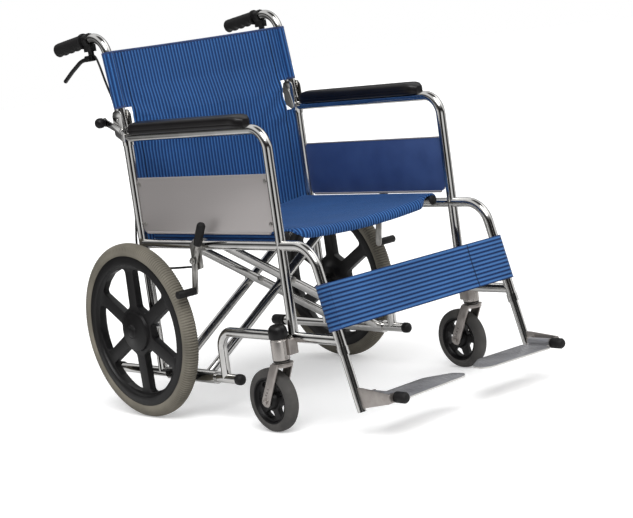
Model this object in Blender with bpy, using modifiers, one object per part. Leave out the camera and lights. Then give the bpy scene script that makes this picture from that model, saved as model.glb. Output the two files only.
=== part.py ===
"""Attendant propelled folding wheelchair: tubular side frames joined by a double cross brace,
moulded wheels, a back that folds down at half height and footplates that flip up.

Metres, +Z up, +Y to the rear. The occupant's right is -X. Shapes are placed in the chair's own
frame: u is the distance out from the middle plane, y runs to the rear, z up from the floor.
"""

from math import cos, pi, radians, sin, tan

import bmesh
import bpy
from mathutils import Matrix, Vector

# Driving dimensions of the whole chair
SIDES = {"right": -1, "left": 1}
GAP = 0.0003
ORIGIN_Y = 0.10674
FRAME_HALF = 0.260
TUBE = 0.011
TUBE_SIDES = 12
PLUG_STEPS = 14
PIN_SIDES = 10
SHARP = radians(35)

# Folding back and push handles
HINGE_Y = 0.187
HINGE_Z = 0.690
HINGE_PIN = 0.004
CANE_FOOT = (HINGE_Y - 0.003, HINGE_Z - 0.022)
CANE_BEND = (0.213, 0.888)
HANDLE_END = (0.400, 0.866)
HANDLE_BEND = 0.050
LATCH_Z = HINGE_Z - 0.025
LATCH_PIN = 0.003

# Side frame, as seen from the side
POST_Y = 0.178
POST_TOP = HINGE_Z - 0.026
BASE_Z = 0.095
BASE_FRONT = -0.105
BASE_REAR = 0.360
LOWER_Z = 0.203
LOWER_REAR_Y = -0.062
LOWER_BEND = 0.040
RAIL_Z = 0.400
RAIL_FRONT_Y = -0.4136
RAIL_BEND = 0.060
HANGER_LEAN = 0.2556
HANGER_END_Z = 0.174
FRONT_POST_Y = -0.318
ARM_Z = 0.649
ARM_BEND = 0.045
COLLAR = 0.0135
PANEL_BOTTOM = 0.425
PANEL_TOP = 0.553

# Rear wheels
WHEEL_U = FRAME_HALF + 0.047
WHEEL_RADIUS = 0.205
RIM_RADIUS = 0.177
AXLE_Z = WHEEL_RADIUS
AXLE = 0.006
WHEEL_STEPS = 36

# Casters
CASTER_U = FRAME_HALF + 0.033
CASTER_Y = -0.306
CASTER_TRAIL = 0.045
CASTER_RADIUS = 0.070
CASTER_STEPS = 20
CASTER_STEM = 0.008
CASTER_AXLE = 0.004
BARREL_BOTTOM = 0.160
BARREL_TOP = 0.207

# Cross brace
BRACE_BAR = 0.0105
SLEEVE = 0.015
SEAT_TUBE_X = FRAME_HALF - 0.036
SEAT_TUBE_Z = RAIL_Z + 0.012
SEAT_FRONT = -0.300
SEAT_REAR = 0.160
BRACE_A_BARS = (0.130, 0.010)
BRACE_B_BARS = (0.105, -0.015)
BRACE_BOLT = 0.004

# Footrests
LEG_TUBE = 0.0095
FOOT_U = FRAME_HALF - 0.020
FOOT_Z = 0.088
FOOT_ROD = 0.005

# Brakes
LEVER_PIVOT = (0.272, 0.838)
LEVER_PIN = 0.003
PARK_PIVOT = (-0.040, 0.368)
PARK_PIN = 0.004
SHOE = (-0.026, 0.299)
SHOE_ROD = 0.004
SHOE_REACH = 0.070
CABLE = 0.0025
CABLE_OFFSET = 0.0165

SIDE_VIEW = Matrix(((0, 0, 1), (1, 0, 0), (0, 1, 0))).to_4x4()
FRONT_VIEW = Matrix(((1, 0, 0), (0, 0, -1), (0, 1, 0))).to_4x4()
TOP_VIEW = Matrix.Identity(4)


def clear_scene():
    for obj in list(bpy.data.objects):
        bpy.data.objects.remove(obj)


def collection(name):
    made = bpy.data.collections.new(name)
    bpy.context.scene.collection.children.link(made)
    return made


def material(name, colour, roughness, metallic=0.0):
    made = bpy.data.materials.new(name)
    made.use_nodes = True
    shader = made.node_tree.nodes["Principled BSDF"]
    shader.inputs["Base Color"].default_value = (*colour, 1)
    shader.inputs["Roughness"].default_value = roughness
    shader.inputs["Metallic"].default_value = metallic
    return made


clear_scene()
PARTS = collection("folding_wheelchair")
TOOLS = collection("cutters")

CHROME = material("chrome", (0.75, 0.75, 0.76), 0.12, 1.0)
ZINC = material("zinc_plate", (0.55, 0.55, 0.56), 0.35, 1.0)
ALUMINIUM = material("cast_aluminium", (0.62, 0.62, 0.62), 0.40, 1.0)
PANEL = material("panel_aluminium", (0.60, 0.58, 0.55), 0.45, 1.0)
PLASTIC = material("black_plastic", (0.02, 0.02, 0.02), 0.40)
RUBBER = material("black_rubber", (0.03, 0.03, 0.03), 0.70)
TYRE = material("grey_tyre", (0.33, 0.31, 0.29), 0.85)
CASTER_TYRE = material("dark_grey_tyre", (0.12, 0.12, 0.13), 0.80)
VINYL = material("black_vinyl", (0.02, 0.02, 0.02), 0.45)
FABRIC = material("blue_striped_fabric", (0.05, 0.16, 0.45), 0.90)


# Helpers for points and outlines


def at(side, u, y, z):
    return Vector((side * u, y, z))


def running(pin, sides=PIN_SIDES):
    """Radius of a polygonal hole whose flats clear a round pin."""
    return (pin + GAP) / cos(pi / sides)


def arc_at(before, corner, after, radius, steps):
    """Points of the arc that rounds one corner."""
    corner = Vector(corner)
    back = (Vector(before) - corner).normalized()
    ahead = (Vector(after) - corner).normalized()
    half = back.angle(ahead) / 2
    centre = corner + (back + ahead).normalized() * (radius / sin(half))
    first = corner + back * (radius / tan(half)) - centre
    last = corner + ahead * (radius / tan(half)) - centre
    turn = pi - 2 * half
    return [
        centre + first * (sin((1 - k / steps) * turn) / sin(turn)) + last * (sin(k / steps * turn) / sin(turn))
        for k in range(steps + 1)
    ]


def bent_path(corners, radius, steps=5):
    """Straight runs between corners, with each inner corner bent to a radius."""
    path = [Vector(corners[0])]
    for before, corner, after in zip(corners, corners[1:], corners[2:]):
        path += arc_at(before, corner, after, radius, steps)
    return path + [Vector(corners[-1])]


def rounded(corners, radius, steps=2):
    """A closed outline with its corners rounded, by one radius or by one for each corner."""
    radii = radius if isinstance(radius, (list, tuple)) else [radius] * len(corners)
    outline = []
    for k, corner in enumerate(corners):
        outline += arc_at(corners[k - 1], corner, corners[(k + 1) % len(corners)], radii[k], steps)
    return outline


def strap_outline(points, half, end=1.0):
    """Outline of a strap of even width laid along points, its ends run on by a share of the width."""
    points = [Vector(point) for point in points]
    runs = [(b - a).normalized() for a, b in zip(points, points[1:])]
    points[0] -= runs[0] * half * end
    points[-1] += runs[-1] * half * end
    left = []
    right = []
    for k, point in enumerate(points):
        along = (runs[max(k - 1, 0)] + runs[min(k, len(runs) - 1)]).normalized()
        across = Vector((-along.y, along.x)) * half
        left.append(point + across)
        right.append(point - across)
    return left + right[::-1]


# Helpers that make one closed solid each


def keep(name, data):
    obj = bpy.data.objects.new(name, data)
    PARTS.objects.link(obj)
    return obj


def as_mesh(curve):
    """Replace a curve object by its mesh, with the caps welded to the sides."""
    curve_name = curve.name
    placed = curve.matrix_world.copy()
    graph = bpy.context.evaluated_depsgraph_get()
    mesh = bpy.data.meshes.new_from_object(curve.evaluated_get(graph))
    bpy.data.objects.remove(curve)
    shape = bmesh.new()
    shape.from_mesh(mesh)
    bmesh.ops.remove_doubles(shape, verts=shape.verts, dist=1e-6)
    bmesh.ops.recalc_face_normals(shape, faces=shape.faces)
    shape.to_mesh(mesh)
    shape.free()
    mesh.shade_smooth()
    mesh.set_sharp_from_angle(angle=SHARP)
    obj = keep(curve_name, mesh)
    obj.matrix_world = placed
    return obj


def tube(name, path, radius, sides=TUBE_SIDES):
    data = bpy.data.curves.new(name, "CURVE")
    data.dimensions = "3D"
    data.bevel_depth = radius
    data.bevel_resolution = sides // 2 - 2
    data.use_fill_caps = True
    spline = data.splines.new("POLY")
    spline.points.add(len(path) - 1)
    for point, place in zip(spline.points, path):
        point.co = (*place, 1)
    return as_mesh(keep(name, data))


def plate(name, outline, thickness, view, centre):
    """A flat outline of even thickness, drawn in the given view and set on a centre."""
    data = bpy.data.curves.new(name, "CURVE")
    data.dimensions = "2D"
    data.fill_mode = "BOTH"
    data.extrude = thickness / 2
    spline = data.splines.new("POLY")
    spline.points.add(len(outline) - 1)
    spline.use_cyclic_u = True
    for point, place in zip(spline.points, outline):
        point.co = (place[0], place[1], 0, 1)
    curve = keep(name, data)
    curve.matrix_world = Matrix.Translation(centre) @ view
    bpy.context.view_layer.update()
    return as_mesh(curve)


def side_plate(name, side, outline, inner, outer):
    """A plate drawn from the side, between two distances from the middle plane."""
    centre = at(side, (inner + outer) / 2, 0, 0)
    return plate(name, outline, outer - inner, SIDE_VIEW, centre)


def finished(name, shape):
    mesh = bpy.data.meshes.new(name)
    shape.to_mesh(mesh)
    shape.free()
    mesh.shade_smooth()
    mesh.set_sharp_from_angle(angle=SHARP)
    return keep(name, mesh)


def rod(name, start, end, radius, sides=PIN_SIDES):
    start = Vector(start)
    end = Vector(end)
    shape = bmesh.new()
    bmesh.ops.create_cone(
        shape,
        cap_ends=True,
        segments=sides,
        radius1=radius,
        radius2=radius,
        depth=(end - start).length,
    )
    obj = finished(name, shape)
    obj.location = (start + end) / 2
    obj.rotation_euler = (end - start).to_track_quat("Z", "Y").to_euler()
    return obj


def box(name, centre, size):
    shape = bmesh.new()
    bmesh.ops.create_cube(shape, size=1)
    bmesh.ops.scale(shape, vec=size, verts=shape.verts)
    obj = finished(name, shape)
    obj.location = centre
    return obj


def turned(name, profile, centre, axis, steps, ring=False):
    """A profile of (radius, height) pairs, run down its outer side and turned about an axis."""
    points = [(radius, 0, height) for radius, height in profile]
    edges = [(k, k + 1) for k in range(len(points) - 1)]
    if ring:
        edges.append((len(points) - 1, 0))
    mesh = bpy.data.meshes.new(name)
    mesh.from_pydata(points, edges, [])
    obj = keep(name, mesh)
    obj.location = centre
    obj.rotation_euler = Vector(axis).to_track_quat("Z", "Y").to_euler()
    screw = obj.modifiers.new("turn", "SCREW")
    screw.steps = steps
    screw.render_steps = steps
    screw.use_merge_vertices = True
    screw.merge_threshold = 1e-5
    return obj


def combine(target, operation, tools):
    for tool in tools:
        step = target.modifiers.new(tool.name, "BOOLEAN")
        step.operation = operation
        step.object = tool
        PARTS.objects.unlink(tool)
        TOOLS.objects.link(tool)
        tool.hide_render = True
        tool.display_type = "WIRE"
    return target


def join(target, *tools):
    return combine(target, "UNION", tools)


def cut(target, *tools):
    return combine(target, "DIFFERENCE", tools)


def tools_of(piece):
    found = []
    for step in piece.modifiers:
        if step.type == "BOOLEAN":
            found += [step.object, *tools_of(step.object)]
    return found


# The joint axes: an empty for each, set in the chair's frame


class Axis:
    """An empty on a joint's axis, which carries what turns about it."""

    def __init__(self, name, place, parent=None):
        self.place = Vector(place)
        self.empty = bpy.data.objects.new(name, None)
        self.empty.empty_display_size = 0.05
        PARTS.objects.link(self.empty)
        self.empty.location = self.place
        if parent:
            self.empty.parent = parent.empty
            self.empty.location -= parent.place

    def carry(self, finish, *pieces):
        """Give pieces a material and hang them, with their tools, on this axis."""
        for piece in pieces:
            piece.data.materials.clear()
            piece.data.materials.append(finish)
            for part in (piece, *tools_of(piece)):
                part.parent = self.empty
                part.location -= self.place


# Centre lines of the tubes in the side view


def hanger_y(z):
    return RAIL_FRONT_Y - (RAIL_Z - z) * HANGER_LEAN


def handle_z(y):
    slope = (HANDLE_END[1] - CANE_BEND[1]) / (HANDLE_END[0] - CANE_BEND[0])
    return CANE_BEND[1] + (y - CANE_BEND[0]) * slope


POST_LINE = [(POST_Y, BASE_Z), (POST_Y, POST_TOP)]
BASE_LINE = [(BASE_FRONT, BASE_Z), (BASE_REAR, BASE_Z)]
RAIL_LINE = bent_path([(POST_Y, RAIL_Z), (RAIL_FRONT_Y, RAIL_Z), (hanger_y(HANGER_END_Z), HANGER_END_Z)], RAIL_BEND)
LOWER_LINE = bent_path([(hanger_y(LOWER_Z), LOWER_Z), (LOWER_REAR_Y, LOWER_Z), (LOWER_REAR_Y, BASE_Z)], LOWER_BEND)
FRONT_POST_LINE = [(FRONT_POST_Y, RAIL_Z), (FRONT_POST_Y, LOWER_Z)]
ARM_LINE = bent_path([(POST_Y, ARM_Z), (FRONT_POST_Y, ARM_Z), (FRONT_POST_Y, RAIL_Z)], ARM_BEND)
CANE_LINE = bent_path([CANE_FOOT, CANE_BEND, HANDLE_END], HANDLE_BEND)


def frame_tube(name, side, line, radius=TUBE):
    return tube(name, [at(side, FRAME_HALF, y, z) for y, z in line], radius)


def tube_room(side, line, radius=TUBE):
    """A cutter that leaves the usual gap round a tube of the frame."""
    return frame_tube("tube_room", side, line, radius + GAP)


# Side frame


def back_post(name, side):
    post = frame_tube(name, side, POST_LINE)
    w = FRAME_HALF
    collar_ends = [at(side, w, POST_Y, ARM_Z + reach) for reach in (-0.019, 0.006)]
    join(post, rod("collar", *collar_ends, COLLAR, TUBE_SIDES))
    front = HINGE_Y - 0.017
    rear = HINGE_Y + 0.019
    top = HINGE_Z + 0.022
    cheek = rounded(
        [(front, HINGE_Z - 0.055), (rear, HINGE_Z - 0.035), (rear, top), (front, top)],
        [0.004, 0.008, 0.012, 0.012],
    )
    near = 0.0115
    far = 0.0140
    join(post, side_plate("outer_cheek", side, cheek, w + near, w + far))
    join(post, side_plate("inner_cheek", side, cheek, w - far, w - near))
    pin_ends = [at(side, w + reach, HINGE_Y, HINGE_Z) for reach in (-far - 0.0006, far + 0.003)]
    join(post, rod("hinge_pin", *pin_ends, HINGE_PIN))
    join(post, rod("latch_stud", at(side, w + near, POST_Y, LATCH_Z), at(side, w + 0.0195, POST_Y, LATCH_Z), LATCH_PIN))
    hub_face = WHEEL_U - 0.024
    join(post, rod("axle_boss", at(side, w, POST_Y, AXLE_Z), at(side, hub_face - GAP, POST_Y, AXLE_Z), 0.013))
    join(post, rod("axle", at(side, w, POST_Y, AXLE_Z), at(side, WHEEL_U + 0.0195 - GAP, POST_Y, AXLE_Z), AXLE))
    return cut(post, tube_room(side, BASE_LINE))


def arm_tube(name, side):
    arm = frame_tube(name, side, ARM_LINE)
    ends = [at(side, FRAME_HALF, POST_Y, ARM_Z + reach) for reach in (-0.049, 0.051)]
    collar_room = rod("collar_room", *ends, COLLAR + GAP, TUBE_SIDES)
    return cut(arm, collar_room, tube_room(side, RAIL_LINE))


def leg_rail(name, side):
    """Seat rail that bends down into the footrest hanger, with two saddles for the seat tube."""
    rail = frame_tube(name, side, RAIL_LINE)
    saddle_top = SEAT_TUBE_Z - TUBE - GAP
    saddle_bottom = RAIL_Z - 0.004
    for y, half in ((-0.200, 0.012), (0.060, 0.010)):
        centre = at(side, FRAME_HALF - 0.028, y, (saddle_top + saddle_bottom) / 2)
        join(rail, box("saddle", centre, (0.036, 2 * half, saddle_top - saddle_bottom)))
    depth = HANGER_END_Z + 0.044
    below = HANGER_END_Z - 0.010
    bore = [(hanger_y(depth), depth), (hanger_y(below), below)]
    return cut(rail, tube_room(side, POST_LINE), tube_room(side, bore, LEG_TUBE))


def front_post(name, side):
    post = frame_tube(name, side, FRONT_POST_LINE)
    return cut(post, tube_room(side, RAIL_LINE), tube_room(side, LOWER_LINE))


def lower_rail(name, side):
    """Lower rail with the caster barrel welded to it."""
    rail = frame_tube(name, side, LOWER_LINE)
    block = box("barrel_bracket", at(side, FRAME_HALF + 0.0145, CASTER_Y - 0.009, 0.1870), (0.0245, 0.030, 0.0345))
    barrel_ends = [at(side, CASTER_U, CASTER_Y, z) for z in (BARREL_BOTTOM, BARREL_TOP)]
    bore_ends = [at(side, CASTER_U, CASTER_Y, z) for z in (BARREL_BOTTOM - 0.010, BARREL_TOP + 0.013)]
    barrel = rod("barrel", *barrel_ends, 0.019, 16)
    bore = rod("barrel_bore", *bore_ends, running(CASTER_STEM))
    join(rail, block, barrel)
    return cut(rail, bore, tube_room(side, RAIL_LINE), tube_room(side, BASE_LINE))


def base_tube(name, side):
    """Bottom tube, which the cross brace turns on, with a plug in front and a tipping pad behind."""
    base = frame_tube(name, side, BASE_LINE)
    front = at(side, FRAME_HALF, BASE_FRONT, BASE_Z)
    rear = at(side, FRAME_HALF, BASE_REAR, BASE_Z)
    plug = [(0, 0.016), (0.008, 0.015), (0.0125, 0.009), (0.0125, -0.001), (0, -0.001)]
    pad = [(0, 0.032), (0.009, 0.030), (0.0135, 0.023), (0.0135, -0.018), (0, -0.018)]
    join(base, turned("plug", plug, front, (0, -1, 0), PLUG_STEPS))
    return join(base, turned("tipping_pad", pad, rear, (0, 1, 0), PLUG_STEPS))


def skirt_panel(name, side):
    front = FRONT_POST_Y + TUBE + GAP
    rear = POST_Y - TUBE - GAP
    outline = rounded(
        [(front, PANEL_BOTTOM), (rear, PANEL_BOTTOM), (rear, PANEL_TOP), (front, PANEL_TOP)],
        [0.022, 0.012, 0.010, 0.010],
    )
    half = 0.0009
    return side_plate(name, side, outline, FRAME_HALF - half, FRAME_HALF + half)


def arm_pad(name, side):
    """Moulded pad with rounded ends, grooved to sit over the arm tube."""
    front = -0.257
    rear = 0.153
    half = 0.025
    low = 0.655
    high = 0.683
    outline = rounded([(-half, front), (half, front), (half, rear), (-half, rear)], 0.022, 3)
    pad = plate(name, outline, high - low, TOP_VIEW, at(side, FRAME_HALF, 0, (low + high) / 2))
    edge = pad.modifiers.new("soft_edge", "BEVEL")
    edge.width = 0.008
    edge.segments = 2
    edge.limit_method = "ANGLE"
    edge.angle_limit = radians(60)
    return cut(pad, tube_room(side, ARM_LINE))


# Rear wheels


def rear_tyre(name, side):
    half = 0.018
    inner = RIM_RADIUS + GAP
    crown = [(inner, 0.0155), (0.186, half), (0.199, 0.0155), (WHEEL_RADIUS, 0.006)]
    profile = crown + [(radius, -height) for radius, height in reversed(crown)]
    return turned(name, profile, at(side, WHEEL_U, POST_Y, AXLE_Z), (side, 0, 0), WHEEL_STEPS, ring=True)


def wheel_window(inner, outer, half_angle, rounding, steps=2):
    """Outline of one opening between two spokes, centred on the first axis."""
    narrow = half_angle * 0.62
    corners = [
        (inner * cos(narrow), -inner * sin(narrow)),
        (outer * cos(half_angle), -outer * sin(half_angle)),
        (outer / cos(half_angle / 2), 0),
        (outer * cos(half_angle), outer * sin(half_angle)),
        (inner * cos(narrow), inner * sin(narrow)),
    ]
    return rounded(corners, [rounding, rounding, outer * 0.5, rounding, rounding], steps)


def cut_windows(wheel, side, centre, count, outline, depth):
    for k in range(count):
        spin = Matrix.Rotation(2 * pi * k / count, 4, "X")
        cut(wheel, plate("window", outline, depth, spin @ SIDE_VIEW, centre))


def rear_hub(name, side):
    """Moulded rim, six spokes and hub in one, with a blind bore for the axle."""
    bore = running(AXLE, WHEEL_STEPS)
    profile = [
        (0, 0.027),
        (0.022, 0.025),
        (0.046, 0.010),
        (0.151, 0.008),
        (0.156, 0.016),
        (RIM_RADIUS, 0.016),
        (RIM_RADIUS, -0.016),
        (0.156, -0.016),
        (0.151, -0.008),
        (0.046, -0.008),
        (0.030, -0.024),
        (bore, -0.024),
        (bore, 0.0195),
        (0, 0.0195),
    ]
    centre = at(side, WHEEL_U, POST_Y, AXLE_Z)
    hub = turned(name, profile, centre, (side, 0, 0), WHEEL_STEPS)
    outline = wheel_window(0.058, 0.146, radians(24), 0.010)
    cut_windows(hub, side, centre, 6, outline, 0.050)
    return hub


# Casters


def caster_cap(name, side):
    profile = [(0, 0.031), (0.010, 0.030), (0.018, 0.025), (0.0205, 0.017), (0.0205, 0), (0, 0)]
    return turned(name, profile, at(side, CASTER_U, CASTER_Y, BARREL_TOP + GAP), (0, 0, 1), 16)


def caster_fork(name, side):
    crown_top = 0.1545
    leg_inner = 0.0195
    leg_outer = 0.0225
    axle_y = CASTER_Y + CASTER_TRAIL
    stem = rod(name, at(side, CASTER_U, CASTER_Y, 0.148), at(side, CASTER_U, CASTER_Y, 0.200), CASTER_STEM)
    crown = rod("crown", at(side, CASTER_U, CASTER_Y, 0.1465), at(side, CASTER_U, CASTER_Y, crown_top), leg_outer, 16)
    washer_ends = [at(side, CASTER_U, CASTER_Y, z) for z in (0.150, BARREL_BOTTOM - GAP)]
    washer = rod("bearing_seal", *washer_ends, 0.012)
    corners = [(CASTER_Y - 0.013, crown_top), (CASTER_Y + 0.013, crown_top), (-0.2455, 0.0649), (-0.2647, 0.0541)]
    leg = rounded(corners, [0.002, 0.002, 0.009, 0.009])
    join(stem, crown, washer)
    for outward in (-1, 1):
        middle = CASTER_U + outward * (leg_inner + leg_outer) / 2
        half = (leg_outer - leg_inner) / 2
        join(stem, side_plate("fork_leg", side, leg, middle - half, middle + half))
    axle_reach = leg_outer + 0.004
    ends = [at(side, CASTER_U + outward * axle_reach, axle_y, CASTER_RADIUS) for outward in (-1, 1)]
    return join(stem, rod("caster_axle", *ends, CASTER_AXLE))


def caster_wheel(name, side):
    bore = running(CASTER_AXLE, CASTER_STEPS)
    upper = [
        (bore, 0.0185),
        (0.018, 0.0185),
        (0.021, 0.006),
        (0.047, 0.006),
        (0.051, 0.0155),
        (0.064, 0.0155),
        (CASTER_RADIUS, 0.009),
    ]
    profile = upper + [(radius, -height) for radius, height in reversed(upper)]
    centre = at(side, CASTER_U, CASTER_Y + CASTER_TRAIL, CASTER_RADIUS)
    wheel = turned(name, profile, centre, (side, 0, 0), CASTER_STEPS, ring=True)
    cut_windows(wheel, side, centre, 5, wheel_window(0.025, 0.044, radians(25), 0.004), 0.040)
    return wheel


# Footrests


def leg_tube(name, side):
    """Sliding footrest tube with its bracket, two lugs and the rod that the footplate turns on."""
    top = 0.210
    foot = 0.054
    line = [(hanger_y(top), top), (hanger_y(foot), foot)]
    leg = frame_tube(name, side, line, LEG_TUBE)
    w = FRAME_HALF
    corners = [(-0.486, 0.105), (-0.512, 0.105), (-0.592, 0.098), (-0.592, 0.078), (-0.512, 0.063), (-0.490, 0.063)]
    bracket = rounded(corners, 0.005)
    join(leg, side_plate("bracket", side, bracket, w - 0.002, w + 0.002))
    for front, rear in ((-0.590, -0.5858), (-0.5242, -0.520)):
        centre = at(side, w - 0.012, (front + rear) / 2, FOOT_Z)
        join(leg, box("lug", centre, (0.028, rear - front, 0.020)))
    return join(leg, rod("foot_rod", *[at(side, FOOT_U, y, FOOT_Z) for y in (-0.612, -0.521)], FOOT_ROD))


def footrest_cap(name, side):
    start = at(side, FOOT_U, -0.590 - GAP, FOOT_Z)
    profile = [(0, 0.032), (0.008, 0.0305), (0.012, 0.025), (0.012, 0), (0, 0)]
    cap = turned(name, profile, start, (0, -1, 0), 12)
    bore = rod("cap_bore", at(side, FOOT_U, -0.612 - GAP, FOOT_Z), at(side, FOOT_U, -0.580, FOOT_Z), running(FOOT_ROD))
    return cut(cap, bore)


def footplate(name, side):
    """Cast plate with a tread, a neck and the barrel that turns on the rod."""
    edge = FOOT_U - 0.014
    corners = [(edge, -0.515), (0.085, -0.510), (0.030, -0.545), (0.025, -0.575), (0.040, -0.590), (edge, -0.602)]
    outline = rounded([(side * u, y) for u, y in corners], [0.010, 0.030, 0.016, 0.010, 0.008, 0.012])
    plate_z = 0.082
    thick = 0.004
    foot = plate(name, outline, thick, TOP_VIEW, (0, 0, plate_z))
    barrel_front = -0.5855
    barrel_rear = -0.5245
    neck = box("neck", at(side, FOOT_U - 0.011, -0.555, plate_z), (0.022, 0.056, thick))
    barrel = rod("barrel", *[at(side, FOOT_U, y, FOOT_Z) for y in (barrel_front, barrel_rear)], 0.010)
    join(foot, neck, barrel)
    return cut(foot, rod("rod_room", *[at(side, FOOT_U, y, FOOT_Z) for y in (-0.620, -0.500)], running(FOOT_ROD)))


# Folding back and push handles


def back_cane(name, side):
    cane = frame_tube(name, side, CANE_LINE)
    ends = [at(side, FRAME_HALF + reach, HINGE_Y, HINGE_Z) for reach in (-0.02, 0.02)]
    return cut(cane, rod("hinge_room", *ends, running(HINGE_PIN)))


def hand_grip(name, side):
    """Moulded grip with finger waves, pushed over the end of the handle."""
    front = 0.292
    rear = 0.408
    run = Vector((0, HANDLE_END[0] - CANE_BEND[0], HANDLE_END[1] - CANE_BEND[1])).normalized()
    length = (rear - front) / run.y
    waves = 4
    points = 2 * waves
    profile = [(0, length), (0.0115, length - 0.0005), (0.0155, length - 0.004)]
    for k in range(points + 1):
        share = k / points
        wave = 0.0156 + 0.0009 * cos(2 * pi * waves * share)
        profile.append((wave, length - 0.010 - share * (length - 0.022)))
    profile += [(0.0155, 0.007), (0.0185, 0.005), (0.0185, 0), (0, 0)]
    grip = turned(name, profile, at(side, FRAME_HALF, front, handle_z(front)), run, TUBE_SIDES + 2)
    end = Vector(HANDLE_END) + Vector((run.y, run.z)) * GAP
    room = [CANE_LINE[-2], end]
    return cut(grip, tube_room(side, room))


def back_latch(name, side):
    """Flat latch with a knob, which holds the folding back upright."""
    w = FRAME_HALF
    knob_y = 0.235
    knob_z = 0.688
    outline = rounded(strap_outline([(POST_Y, LATCH_Z), (knob_y, knob_z)], 0.008), 0.0075)
    latch = side_plate(name, side, outline, w + 0.0143, w + 0.0173)
    knob = rod("knob", at(side, w + 0.016, knob_y, knob_z), at(side, w + 0.040, knob_y, knob_z), 0.011, 12)
    join(latch, knob)
    ends = [at(side, w + reach, POST_Y, LATCH_Z) for reach in (0.012, 0.022)]
    return cut(latch, rod("stud_room", *ends, running(LATCH_PIN)))


# Brakes


def hand_brake_body(name, side):
    w = FRAME_HALF
    front = 0.268
    rear = 0.288
    clamp = rod(name, at(side, w, front, handle_z(front)), at(side, w, rear, handle_z(rear)), 0.015, TUBE_SIDES)
    join(clamp, box("block", at(side, w, 0.274, 0.8615), (0.016, 0.028, 0.017)))
    join(clamp, box("tab", at(side, w, LEVER_PIVOT[0], 0.8435), (0.006, 0.016, 0.025)))
    ends = [at(side, w + reach, *LEVER_PIVOT) for reach in (-0.0085, 0.0085)]
    join(clamp, rod("lever_pin", *ends, LEVER_PIN))
    return cut(clamp, tube_room(side, CANE_LINE))


def hand_brake_lever(name, side):
    w = FRAME_HALF
    path = bent_path([(0.2835, 0.8375), (0.318, 0.833), (0.362, 0.811), (0.398, 0.790)], 0.060, 3)
    lever = tube(name, [at(side, w, y, z) for y, z in path], 0.005, 8)
    cheek = rounded([(0.264, 0.831), (0.294, 0.830), (0.294, 0.844), (0.264, 0.845)], 0.005)
    for outward in (-1, 1):
        middle = w + outward * 0.005
        join(lever, side_plate("cheek", side, cheek, middle - 0.0015, middle + 0.0015))
    ends = [at(side, w + reach, *LEVER_PIVOT) for reach in (-0.012, 0.012)]
    return cut(lever, rod("pin_room", *ends, running(LEVER_PIN)))


def brake_bracket(name, side):
    """Clamp on the seat rail with the plate and stud that the parking brake turns on."""
    w = FRAME_HALF
    clamp = rod(name, at(side, w, -0.055, RAIL_Z), at(side, w, -0.022, RAIL_Z), 0.0145, TUBE_SIDES)
    outline = rounded([(-0.055, 0.350), (-0.022, 0.342), (-0.022, 0.405), (-0.055, 0.405)], 0.004)
    join(clamp, side_plate("plate", side, outline, w + 0.0125, w + 0.0185))
    join(clamp, rod("spacer", at(side, w + 0.017, *PARK_PIVOT), at(side, w + 0.022 - GAP, *PARK_PIVOT), 0.007))
    join(clamp, rod("stud", at(side, w + 0.017, *PARK_PIVOT), at(side, w + 0.030, *PARK_PIVOT), PARK_PIN))
    return cut(clamp, tube_room(side, RAIL_LINE))


LEVER_HEAD = (-0.052, 0.392)
GRIP_END = (-0.082, 0.446)


def brake_lever(name, side):
    inner = FRAME_HALF + 0.022
    outer = FRAME_HALF + 0.026
    middle = (inner + outer) / 2
    outline = rounded(strap_outline([LEVER_HEAD, PARK_PIVOT, SHOE], 0.009), 0.008)
    lever = side_plate(name, side, outline, inner, outer)
    join(lever, rod("grip_rod", at(side, middle, *LEVER_HEAD), at(side, middle, *GRIP_END), 0.005))
    join(lever, rod("shoe_rod", at(side, middle, *SHOE), at(side, FRAME_HALF + SHOE_REACH, *SHOE), SHOE_ROD))
    ends = [at(side, middle + reach, *PARK_PIVOT) for reach in (-0.01, 0.01)]
    return cut(lever, rod("stud_room", *ends, running(PARK_PIN)))


def brake_grip(name, side):
    middle = FRAME_HALF + 0.024
    head = Vector(LEVER_HEAD)
    run = (Vector(GRIP_END) - head).normalized()
    start = head + run * 0.013
    length = 0.056
    profile = [(0, length), (0.0075, length - 0.001), (0.010, length - 0.006), (0.010, 0.010), (0.0085, 0), (0, 0)]
    grip = turned(name, profile, at(side, middle, *start), (0, *run), 12)
    end = Vector(GRIP_END) + run * GAP
    return cut(grip, rod("rod_room", at(side, middle, *(start - run * 0.01)), at(side, middle, *end), running(0.005)))


def brake_shoe(name, side):
    inner = FRAME_HALF + 0.026 + GAP
    profile = [(0, 0.0485), (0.0078, 0.0485), (0.009, 0.047), (0.009, 0), (0, 0)]
    shoe = turned(name, profile, at(side, inner, *SHOE), (side, 0, 0), 12)
    ends = [at(side, reach, *SHOE) for reach in (inner - 0.01, FRAME_HALF + SHOE_REACH + GAP)]
    return cut(shoe, rod("rod_room", *ends, running(SHOE_ROD)))


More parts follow.
